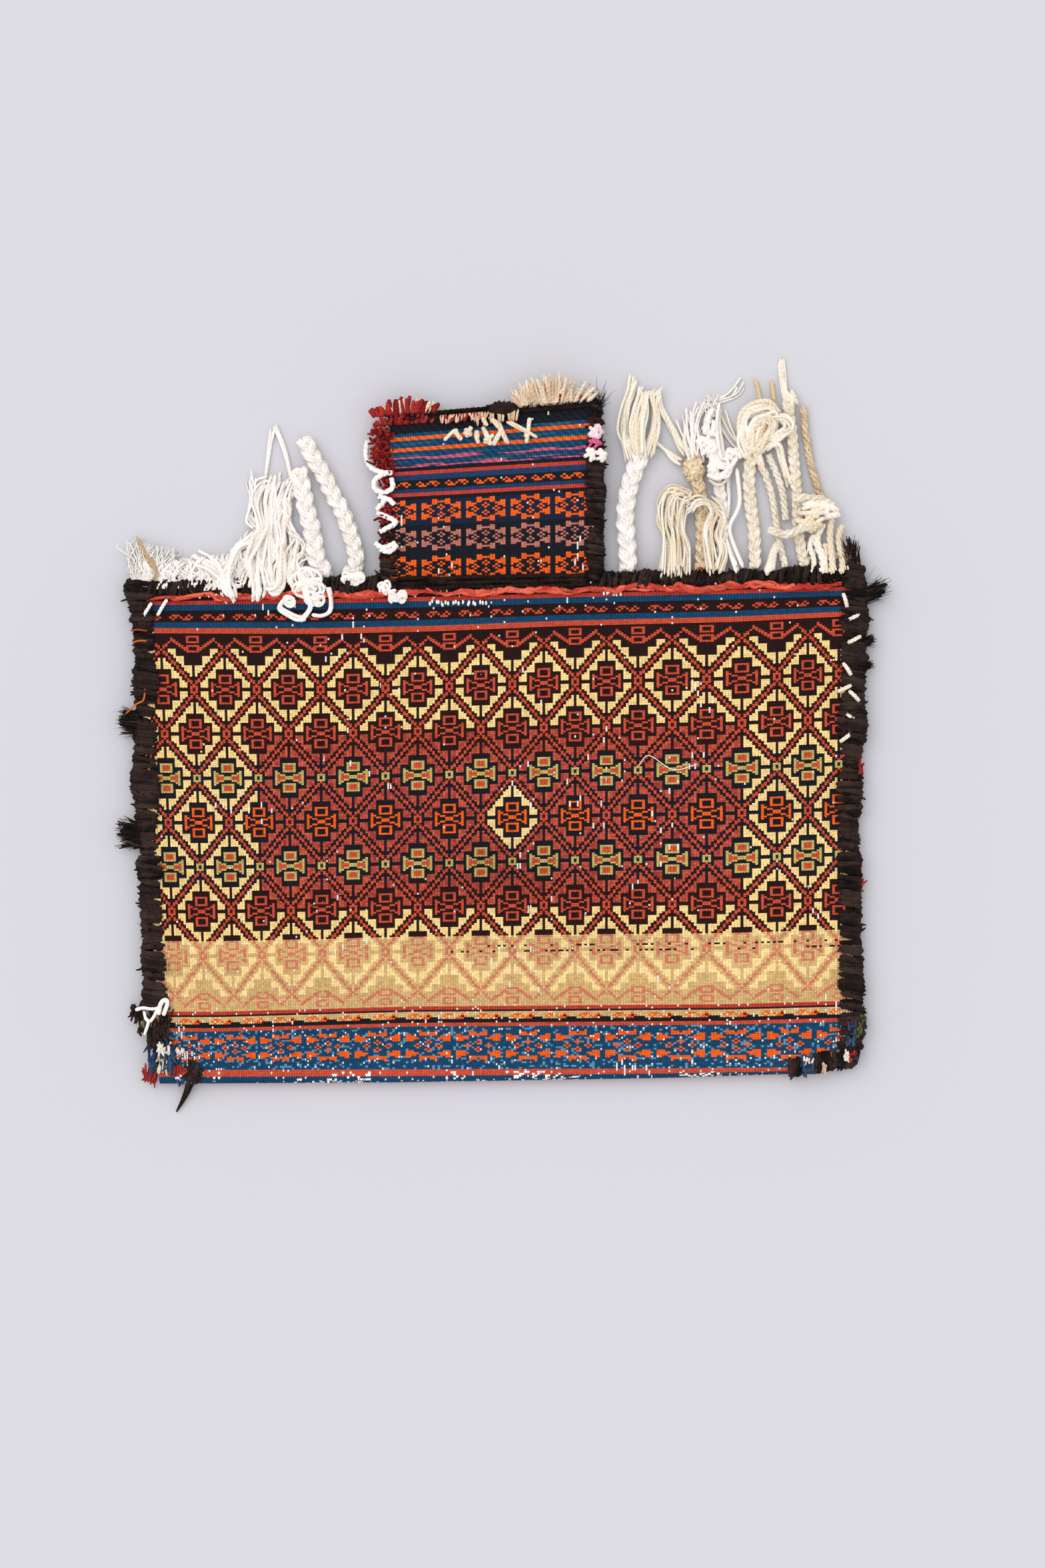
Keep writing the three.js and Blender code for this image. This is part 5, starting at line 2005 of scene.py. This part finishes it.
@dataclass
class SaltBag:
    """The bag: its cloth, bindings, fringe, braids and small trim, each riding on the frame's one body."""

    plan: Plan
    dyer: Dyer = field(default_factory=Dyer)
    trim: list[Piece] = field(default_factory=list)
    ends: dict[str, Piece] = field(default_factory=dict)

    def rng(self, name: str) -> Rng:
        """Random numbers of a piece's own, the same each run."""
        return np.random.default_rng([SEED, *name.encode()])

    def settle(self, piece: Piece, slot: str, *nodes: str) -> Piece:
        """Puts a piece on the frame's body in place of its nodes.

        Args:
            piece: the piece.
            slot: not used.
            nodes: the nodes that it stands for.

        Returns:
            The piece.
        """
        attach(piece, BODY)
        if nodes:
            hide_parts(*nodes)
        log.info("%s: %d faces", piece.name, len(piece.data.polygons))
        return piece

    def dress(self, skein: Skein, name: str, slot: str, yarns: Sequence[Yarn], *nodes: str) -> Piece:
        """Makes a skein a piece and puts it in place of its nodes."""
        return self.settle(skein.build(name, self.plan, self.dyer.get(*yarns)), slot, *nodes)

    def sewn(self, skein: Skein, name: str, slot: str, *yarns: Yarn) -> None:
        """Makes a skein a piece that is sewn to the cloth, in place of the node of its name."""
        self.trim.append(self.dress(skein, name, slot, yarns, name))

    def tied(self, skein: Skein, name: str, slot: str, yarn: Yarn) -> None:
        """Makes a skein a piece at the end of a braid, in place of the node of its name."""
        self.ends[name] = self.dress(skein, name, slot, [yarn], name)

    def build_bindings(self) -> None:
        """Winds hair yarn along the sides, the shoulders, the neck and the bottom right corner."""
        plan = self.plan
        half, gap = plan.body_width / 2, plan.clearance
        torn, corner, lacing_foot = 46.0, 15.0, 352.9
        left, right = plan.neck_left, plan.neck_right
        left_top = plan.shoulder_y(-half) + plan.shoulder_out
        right_top = plan.shoulder_y(half) + plan.shoulder_out
        left_foot = (left, plan.shoulder_y(left) + gap)
        right_foot = (right, plan.shoulder_y(right) + gap)
        ends = [(x, plan.shoulder_y(x)) for x in (-218.1, -73.3, 68.3, 218.1)]
        edges = (
            ("left_side_binding", (plan.left_x(torn), torn), (plan.left_x(left_top), left_top), 8.5, 7.0),
            ("right_side_binding", (plan.right_x(right_top), right_top), (plan.right_x(corner), corner),
             8.5, 7.0),
            ("left_shoulder_binding", ends[0], ends[1], 6.5, 4.0),
            ("right_shoulder_binding", ends[2], ends[3], 6.5, 4.0),
            ("neck_left_binding", left_foot, (left, lacing_foot), 6.0, 4.5),
            ("neck_right_binding", (right, plan.mouth_y(right)), right_foot, 6.0, 4.5),
            ("bottom_corner_binding", (227.0, 15.5), (184.0, 7.5), 8.0, 6.5),
        )
        straight = ((0.0, 0.0), (1.0, 0.0))
        coarse = {
            "left_side_binding": ((0.0, 0.0), (0.55, 0.0), (0.78, -3.5), (0.9, -3.0), (1.0, -1.0)),
            "right_side_binding": (
                (0.0, 0.0), (0.3, -1.0), (0.5, -3.5), (0.7, -2.0), (0.96, 0.0), (1.0, -3.0)),
            "bottom_corner_binding": straight,
        }
        for name, start, end, out, reach in edges:
            pitch, thick = (2.5, 2.1) if name in coarse else (1.9, 1.6)
            binding = WoundBinding(plan, name, start, end, out, reach, self.rng(name), pitch, thick,
                                   coarse.get(name, straight))
            nodes = [] if name == "bottom_corner_binding" else [name]
            self.trim.append(self.settle(binding.build(self.dyer), "goat_hair", *nodes))

    def build_rows(self) -> None:
        """Lays the dark row across the foot of the neck, the lips' bindings and the red twined row."""
        plan = self.plan
        rng = self.rng("rows")
        skein = Skein(rng)
        x = np.linspace(plan.neck_left + 4.8, plan.neck_right - 4.8, 60)
        for lift, level in ((-1.6, 11.9), (1.2, 12.5), (4.0, 11.9)):
            y = plan.shoulder_y(x) + lift + 0.4 * np.sin(x / 6 + lift)
            skein.twist(at_level(x, y, level), 1.7, 0.2)
        skein.shag(at_level(x, plan.shoulder_y(x) + 1.2, 12.5), 420, 4.5)
        self.sewn(skein, "neck_base_row", "goat_hair", HAIR)
        self.build_lips(rng)
        skein = Skein(rng)
        x = np.linspace(-217.6, 217.6, 260)
        y = plan.shoulder_y(x) - 5.0 + 0.8 * np.sin(x / 11) + 0.6 * np.sin(x / 4.3)
        row = at_level(x, y, 12.2)
        skein.twist(row, 1.2, 0.3)
        for _ in range(60):
            first = rng.integers(0, 240)
            piece = row[first:first + rng.integers(12, 34)]
            roving = smooth(piece[::3] + rng.normal(0, 0.9, piece[::3].shape) + (0, 0, 0.8), len(piece))
            thick = 1.5 * np.sin(np.linspace(0.25, np.pi - 0.25, len(piece)))
            skein.add(roving, thick, rng.uniform(0.1, 1.0), 6)
        skein.shag(at_level(x, y, 12.8), 500, 3.0, (0.1, 1.0))
        self.sewn(skein, "red_twined_row", "red_wool", SCARLET)

    def build_lips(self, rng: Rng) -> None:
        """Binds the lips of the mouth: thick hair cords along the front one and a thin one on the back one.

        Args:
            rng: random numbers.
        """
        plan = self.plan
        x = np.linspace(plan.neck_left - 1, plan.neck_right + 1, 70)
        skein = Skein(rng)
        for away, level in ((1.7, 10.6), (4.4, 9.8)):
            skein.twist(at_level(x, plan.mouth_y(x) + away, level), 1.9, 0.15)
        skein.shag(at_level(x, plan.mouth_y(x) + 3, 11.4), 500, 3.4)
        self.sewn(skein, "mouth_front_binding", "goat_hair", HAIR)
        skein = Skein(rng)
        skein.twist(at_level(x, plan.mouth_y(x) + 2.2, 1.6), 1.5, 0.2)
        self.sewn(skein, "mouth_back_binding", "goat_hair", HAIR)

    def build_cords(self) -> None:
        """Plaits the braids, ties the rope and its loop, and makes loose ends."""
        paths = {}
        pieces = {}
        for braid in (*LEFT_BRAIDS, *RIGHT_BRAIDS, TIED_ROPE, TIED_LOOP):
            piece, path = braid.build(self.plan, self.dyer, self.rng(braid.name))
            pieces[braid.name] = self.settle(piece, braid.slot, braid.name)
            paths[braid.name] = path
        self.build_ends({name: path[-1] for name, path in paths.items()})
        ends = self.ends
        with_pieces = {
            "right_braid_1": ("bare", ends["right_braid_1_end"]),
            "right_braid_2": ("knot", ends["right_braid_2_knot"], ends["right_braid_2_end"]),
            "right_braid_4": ("knot", ends["right_braid_4_knot"]),
            "right_braid_7": ("bare", ends["right_braid_7_end"], pieces["right_tied_rope"],
                              pieces["right_tied_loop"]),
        }
        for braid in (*LEFT_BRAIDS, *RIGHT_BRAIDS):
            far_end, *others = with_pieces.get(braid.name, ("bare",))
            places = self.plan.to_frame(paths[braid.name])
            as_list(others)

    def build_ends(self, tips: dict[str, Array]) -> None:
        """Loose ends and knots at the tips of four braids.

        Args:
            tips: the end of each braid.
        """
        rng = self.rng("braid_ends")
        tip = tips["right_braid_1"]
        skein = Skein(rng)
        for points, count in BRAID_1_END:
            skein.strands(np.array(points) + tip, count, 0.9, 1.5, (0.6, 1.0))
        self.tied(skein, "right_braid_1_end", "white_cotton", IVORY)
        x, y, _ = tips["right_braid_2"]
        skein = Skein(rng)
        knot = np.array([x - 1, y + 5.5, 5.0])
        skein.tangle(knot + (-1, 0, 0), (6.2, 7.6, 5.0), 14, 1.5)
        self.tied(skein, "right_braid_2_knot", "tan_cotton", TAN)
        skein = Skein(rng)
        for points, count in BRAID_2_END:
            skein.strands(np.array(points) + knot, count, 0.7, 1.8, (0.6, 1.0))
        self.tied(skein, "right_braid_2_end", "white_cotton", COTTON)
        skein = Skein(rng)
        for points, count, radius in BRAID_4_KNOT:
            skein.strands(points, count, radius, 1.7, (0.5, 1.0))
        for points in (((168, 424, 7), (166, 434, 3), (163.8, 442.5, 1.8)), ((176, 428, 3), (174, 441, 1.8))):
            skein.strands(points, 3, 1.0, 0.5, (0.0, 0.2))
        skein.tangle((163.5, 397, 6), (5.5, 3, 4.5), 6, 1.3)
        self.tied(skein, "right_braid_4_knot", "white_cotton", IVORY)
        skein = Skein(rng)
        skein.strands(((184, 425, 4), (182, 437, 3), (181, 446, 1.5), (181, 454.5, 1)),
                      16, 0.6, 1.0, (0.6, 1))
        skein.strands(((186, 424, 4), (188, 430, 4), (186.5, 436, 2)), 6, 1.1, 1.0)
        skein.tangle((187, 428, 4.5), (3.2, 4, 3), 5, 1.1)
        self.tied(skein, "right_braid_7_end", "white_cotton", IVORY)

    def build_fringe(self) -> None:
        """Loose warps on the shoulders: bundles, low fringe and the wisps at the corners."""
        rng = self.rng("fringe")
        skein = Skein(rng)
        Spray(((-182, 308, 14), (-127, 312, 14)), ((-160, 340, 1), (-131, 374, 1)), 64, 1.0, 3.5, 0.5,
              curl=1.0).add_to(skein, (0.4, 1.0))
        for points, count, radius in LEFT_BUNDLE:
            skein.strands(points, count, radius, 2.2, (0.5, 1.0))
        for points in LEFT_THREADS:
            skein.strands(points, 3, 0.75, 0.9, (0.5, 1.0))
        self.sewn(skein, "left_loose_bundle", "white_cotton", COTTON)
        skein = Skein(rng)
        Spray(((-220, 309, 12), (-158, 311, 12)), ((-220, 327, 2), (-154, 333, 2)), 250, 0.95, 3.0, 0.6,
              curl=1.6, steps=10).add_to(skein, (0.6, 1.0))
        self.sewn(skein, "left_low_fringe", "white_cotton", COTTON)
        skein = Skein(rng)
        Spray(((-229, 312, 9), (-211, 313, 9)), ((-229, 340, 2), (-205, 336, 2)), 210, 0.36, 3.2, 0.6,
              curl=2.0, steps=12).add_to(skein, (0.75, 1.0))
        curl = smooth([(-227, 341, 4), (-222, 331, 6), (-216, 323, 8), (-216, 315, 9), (-224, 309, 10)], 24)
        skein.add(curl[None] + rng.normal(0, 0.7, (6, 1, 3)), 0.45, 0.5, 5, finish=1)
        self.sewn(skein, "left_end_tuft", "white_cotton", COTTON, TAN)
        self.build_right_fringe(rng)
        self.build_hanging_knot(rng)

    def build_right_fringe(self, rng: Rng) -> None:
        """Loose warps between the right braids, and the cut rope ends and tan wool at the corner.

        Args:
            rng: random numbers.
        """
        skein = Skein(rng)
        for points, count, radius in RIGHT_BUNDLE:
            skein.strands(points, count, radius, 2.0, (0.4, 1.0), finish=0 if radius > 1 else 1)
        for centre, size in RIGHT_KNOTS:
            skein.tangle(centre, (size, size, 0.8 * size), 7, 1.5)
        Spray(((133, 418, 5), (141, 418, 5)), ((131, 432, 1), (140, 434, 1)), 16, 0.45, 2.5, 0.5,
              curl=1.5).add_to(skein, (0.7, 1.0))
        self.sewn(skein, "right_loose_bundle", "white_cotton", COTTON, IVORY)
        skein = Skein(rng)
        for x, top, radius in ROPE_ENDS:
            sway = rng.normal(0, 1.2)
            low, high = (x - sway, 0.5 * top + 165, 5), (x + sway, top, 6.5)
            rope = smooth([(x, 319, 13.2), (x + sway, 327, 8.5), low, high], 24)
            skein.twist(rope, radius, rng.uniform(0.4, 1))
        Spray(((196, 320, 13), (221, 321, 13)), ((198, 338, 2), (220, 340, 2)), 26, 0.6, 2.5,
              0.6).add_to(skein)
        for centre, radii, loops, radius in CORNER_KNOTS:
            skein.tangle(centre, radii, loops, radius)
        skein.strands(((178, 338, 3), (174.5, 331, 6), (172, 320, 12)), 6, 1.7, 1.2, (0.7, 1.0))
        for place, count in (((204, 322, 9), 24), ((130.5, 321, 10), 10)):
            Tuft(place, (0, 1, 0.4), 3, count, 0.5, 0.5, (8, 1.2, 2), tip=0.6).add_to(skein, (0.2, 1.0), 1)
        self.sewn(skein, "right_short_fringe", "white_cotton", IVORY, ORANGE)
        skein = Skein(rng)
        Tuft((222.5, 325, 7), (0.1, 1, 0.1), 8, 40, 0.6, 0.4).add_to(skein, (0.0, 0.4))
        for count, radius, spread in ((26, 0.9, 0.09), (90, 0.3, 0.14)):
            Tuft((226, 322, 7), (-0.12, 1, 0.0), 19, count, radius, spread, (4.2, 3, 3), 0.1,
                 tip=0.3).add_to(skein, (0.1, 0.8), 1)
        self.sewn(skein, "right_corner_wool", "tan_cotton", TAN, HAIR)

    def build_hanging_knot(self, rng: Rng) -> None:
        """White loops that hang over the left shoulder, and the knot at the foot of the neck.

        Args:
            rng: random numbers.
        """
        skein = Skein(rng)
        for centre, radii, loops in HANGING_KNOTS:
            skein.snarl(centre, radii, loops, 1.05)
        for points, count in HANGING_THREADS:
            skein.strands(points, count, 1.1, 0.6, (0.7, 1.0))
        self.sewn(skein, "left_hanging_knot", "white_cotton", COTTON)
        skein = Skein(rng)
        for centre in ((-69.5, 308.5, 15.6), (-65, 303, 15.6), (-60.5, 304.5, 15.2)):
            skein.snarl(centre, (4.4, 5.4, 1.6), 6, 1.0)
        self.sewn(skein, "white_neck_knot", "white_cotton", COTTON)

    def stubs(self, skein: Skein, left: float, right: float, count: int, length: float, radius: float,
              fan: float, tones: Tones, finish: int = 0, over: float = 5.0) -> None:
        """Adds stubs of yarn that stand up along the mouth and fan out, the longest in the middle.

        Args:
            skein: what they are added to.
            left, right: where they start and end along the mouth.
            count: how many.
            length: of the longest.
            radius: of a stub.
            fan: how far the outer ones lean.
            tones: darkest and lightest.
            finish: which finish they take.
            over: how far past the mouth's edge they start.
        """
        rng = skein.rng
        x = rng.uniform(left, right, count)
        lean = (x - (left + right) / 2) / (right - left) * 2 * fan
        root = at_level(x, self.plan.mouth_y(x) + over, 10.5)
        parts = [lean + rng.normal(0, 0.2, count), np.ones(count), rng.uniform(0, 0.5, count)]
        way = np.stack(parts, axis=-1)
        size = length * rng.uniform(0.65, 1.1, count) * (1 - 0.45 * (lean / fan) ** 2)
        lines = bent(root, unit(way), size[:, None, None], rng.normal(0, 0.08, (count, 3)), 6)
        lines[..., 2] = np.clip(lines[..., 2], 7.0, 18.0)
        skein.add(lines, radius * round_ends(6, 0.7), rng.uniform(*tones, count), 5, finish)

    def build_mouth_trim(self) -> None:
        """Tufts, stubs and big stitches along the mouth, and the lacing on the neck's left edge."""
        plan = self.plan
        rng = self.rng("mouth")
        skein = Skein(rng)
        self.stubs(skein, -77, -37, 46, 10, 1.6, 0.5, (0.1, 0.8))
        self.stubs(skein, -72, -38, 12, 10, 1.3, 0.5, (0.5, 1.0), 1)
        self.stubs(skein, -77, -40, 20, 7, 1.5, 0.4, (0.1, 0.7), 0, -1.0)
        Tuft((-72, 398, 9), (-0.3, 0.1, 0.5), 5, 130, 0.95, 0.5, (5, 14, 4),
             tip=0.7).add_to(skein, (0.0, 0.7))
        self.sewn(skein, "red_mouth_tuft", "red_wool", RED, CREAM)
        skein = Skein(rng)
        t = np.linspace(0, 1, 7)
        for left, right, count, length in ((-35, -9, 16, 5.0), (-34, -10, 15, 4.5), (-12, 14, 16, 8.0)):
            x = np.linspace(left, right, count)[:, None] + rng.normal(0, 0.5, (count, 1))
            sway = rng.normal(0, 1.2, (count, 1)) * t
            y = plan.mouth_y(x) + 2.5 - length * rng.uniform(0.8, 1.2, (count, 1)) * t
            lines = [x + sway, y, 12.0 + 2.4 * np.sin(np.pi * (0.15 + 0.8 * t)) + 0 * x]
            finish = 1 if length < 4.8 else 0
            skein.add(np.stack(lines, axis=-1), 0.75 * round_ends(7), rng.uniform(0.0, 0.8, count), 6, finish)
        self.sewn(skein, "brown_mouth_fringe", "tan_cotton", CREAM, RED)
        skein = Skein(rng)
        skein.tangle((4.3, float(plan.mouth_y(4.3)) + 3.2, 11.2), (8.6, 4.6, 4.4), 44, 0.6)
        self.stubs(skein, -3, 11.5, 130, 7, 0.2, 1.1, (0.1, 0.5), 0, 1.0)
        self.sewn(skein, "black_mouth_tuft", "goat_hair", BLACK)
        skein = Skein(rng)
        self.stubs(skein, 15, 58, 80, 19, 1.05, 1.0, (0.4, 1.0), 0, 3.0)
        self.stubs(skein, 20, 56, 20, 6, 0.8, 0.5, (0.2, 0.9), 1, 5.0)
        self.sewn(skein, "cream_mouth_fan", "white_cotton", CREAM, RED)
        skein = Skein(rng)
        Tuft((64, 422, 8), (0.25, 1, 0.2), 13, 70, 0.3, 0.25).add_to(skein, (0.2, 0.9))
        self.sewn(skein, "mouth_corner_tuft", "goat_hair", HAIR)
        skein = Skein(rng)
        for x, high, foot_x, low in MOUTH_STITCHES:
            points = [(x, high, 11.8), ((x + foot_x) / 2, (high + low) / 2, 14.0), (foot_x, low, 12.4)]
            skein.strands(points, 2, 1.25, 0.7, (0.7, 1.0))
        self.sewn(skein, "cream_mouth_lacing", "white_cotton", CREAM)
        skein = Skein(rng)
        skein.tangle((62.5, 408, 15.4), (4, 4.4, 2), 7, 1.3)
        skein.tangle((62, 400.5, 15.6), (3.4, 3.6, 2), 5, 1.1, 2)
        skein.tangle((59.5, 393.4, 15.8), (3.2, 3.6, 2), 6, 1.3, 1)
        skein.tangle((66, 393, 15.4), (3.2, 3.6, 2), 6, 1.3, 1)
        self.sewn(skein, "pink_knot", "pink_wool", PINK, COTTON, MAGENTA)
        self.build_lacing(rng)

    def build_lacing(self, rng: Rng) -> None:
        """White cotton sewn over the neck's left edge in slanting stitches, over red wool.

        Args:
            rng: random numbers.
        """
        edge = self.plan.neck_left
        skein = Skein(rng)
        for points in LACING_RUNS:
            skein.twist(smooth(np.array(points) + (edge, 0, 1.2), 36), 1.75, rng.uniform(0.85, 1.0))
        Tuft((edge - 1, 371, 9), (-0.2, 0.3, 0.5), 4, 260, 0.9, 0.6, (4.6, 44, 4),
             tip=0.7).add_to(skein, (0.0, 0.6), 1)
        self.sewn(skein, "neck_left_lacing", "white_cotton", COTTON, RED)

    def build_side_tufts(self) -> None:
        """Tufts of hair on the side bindings and under the bottom left corner."""
        plan = self.plan
        for name, side, share, length in SIDE_TUFTS:
            y = share * plan.body_height
            left = side is Side.LEFT
            x = plan.left_x(y) - 7 if left else plan.right_x(y) + 7
            skein = Skein(self.rng(name))
            inner = x + 4 if left else x - 4
            way = (-1, 0.12, 0.0) if left else (1, 0.4, 0.0)
            tall = 7.5 if left else 0.28 * length
            for longer, count, radius, spread, sides in (
                (3, 46, 1.05, 0.07, 5), (4, 150, 0.32, 0.1, 4), (5, 90, 0.14, 0.18, 3),
            ):
                Tuft((inner, y, 7.5), way, length + longer, count, radius, spread, (2, tall, 3.6), 0.1,
                     sides=sides, tip=0.3).add_to(skein, (0.1, 0.8))
            self.sewn(skein, name, "goat_hair", HAIR)
        rng = self.rng("bottom_hair_tuft")
        skein = Skein(rng)
        lock = smooth([(-192, 3, 5), (-194, -5, 4), (-197.5, -13, 3), (-202, -21, 1.5)], 10)
        gather = np.linspace(2.6, 0.3, 10)[:, None]
        hairs = lock + np.clip(rng.normal(0, 0.6, (80, 1, 3)), -1, 1) * gather
        hairs[..., 2] = np.maximum(hairs[..., 2], 0.4)
        skein.add(hairs, 0.4 * taper(10, 0.3), rng.uniform(0.1, 0.9, 80), 4)
        self.sewn(skein, "bottom_hair_tuft", "goat_hair", HAIR)

    def build_stitches(self) -> None:
        """Cotton repair stitches over the right binding, and the lashing of the torn corner on the left."""
        plan = self.plan
        rng = self.rng("stitches")
        for number, (share, inward, turn) in enumerate(REPAIRS, 1):
            y = share * plan.body_height
            way = np.array([-math.sin(turn), math.cos(turn)]) * 4.6
            x = plan.right_x(y) - inward
            points = [(x - way[0], y - way[1], 12.6), (x, y, 15.2), (x + way[0], y + way[1], 12.6)]
            skein = Skein(rng)
            skein.twist(smooth(points, 14), 1.35, 0.8)
            self.sewn(skein, f"repair_stitch_{number}", "white_cotton", IVORY)
        skein = Skein(rng)
        for points, radius in LASHING:
            skein.strands(points, 2, radius, 0.35, (0.8, 1.0))
        self.sewn(skein, "corner_lashing", "white_cotton", COTTON)
        self.build_corners(rng)

    def build_corners(self, rng: Rng) -> None:
        """Rags of the torn left corner and bits of coloured wool in the bindings, as short yarns.

        Args:
            rng: random numbers.
        """
        yarns = (BLUE, COTTON, CREAM, RED, HAIR, OLIVE, ORANGE)
        skein = Skein(rng)
        for yarn, centre, half, threads in RAGS:
            count = 2 * threads
            middle = np.array(centre) + rng.uniform(-1, 1, (count, 3)) * np.array([*half, 0.6])
            parts = [rng.normal(0.1, 0.25, count), np.ones(count), rng.normal(0, 0.12, count)]
            way = np.stack(parts, axis=-1)
            reach = np.minimum(half[1], 4.5) * rng.uniform(0.7, 1.2, (count, 1, 1))
            lines = bent(middle, unit(way), reach, rng.normal(0, 0.25, (count, 3)), 7, -1.0)
            lines[..., 2] = np.clip(lines[..., 2], 1.0, 17.0)
            skein.add(lines, 0.7 * round_ends(7), rng.uniform(0.1, 0.9, count), 4, yarns.index(yarn))
        for yarn, points in THREADS_OVER:
            skein.add(smooth(points, 16), 0.6, 0.8, 5, yarns.index(yarn))
        self.trim.append(self.dress(skein, "corner_rags", "woven_wool", yarns))
        skein = Skein(rng)
        thread = [(89.9, 197.8, 12.2), (96.6, 204.1, 12.6), (111.7, 195.3, 12.4), (126.8, 198.7, 12.2)]
        skein.add(smooth(thread, 40), 0.3, 0.9, 5)
        for left, right, y, count in NUBS:
            x = np.linspace(left, right, count) + rng.normal(0, 0.5, count)
            foot = at_level(x, np.full(count, y) + rng.normal(0, 0.5, count), 12.4)
            t = np.linspace(-1, 1, 5)[None, :, None]
            nubs = foot[:, None] + np.array([0.0, 1.3, 0.0]) * t + np.array([0, 0, -0.5]) * t**2
            skein.add(nubs, 0.75 * round_ends(5), rng.uniform(0.6, 1, count), 5)
        for x, y in ((-219.7, 295.3), (-210, 297.4)):
            stitch = smooth([(x - 3, y - 5, 12.2), (x, y, 14.4), (x + 3, y + 5, 13.4)], 14)
            skein.twist(stitch, 1.2, 0.9)
        self.trim.append(self.dress(skein, "loose_threads", "white_cotton", [COTTON]))


def main() -> None:
    """Builds the studio and then the bag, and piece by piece."""
    logging.basicConfig(level=logging.INFO, format="%(message)s")
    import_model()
    plan = Plan.from_frame()
    Studio().build()
    bag = SaltBag(plan)
    bag.build_cords()
    cloth = bag.settle(Cloth(plan).build(), "woven_wool", "woven_cloth")
    bag.build_bindings()
    bag.build_rows()
    bag.build_fringe()
    bag.build_mouth_trim()
    bag.build_side_tufts()
    bag.build_stitches()
    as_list(bag.trim)


if __name__ == "__main__":
    main()
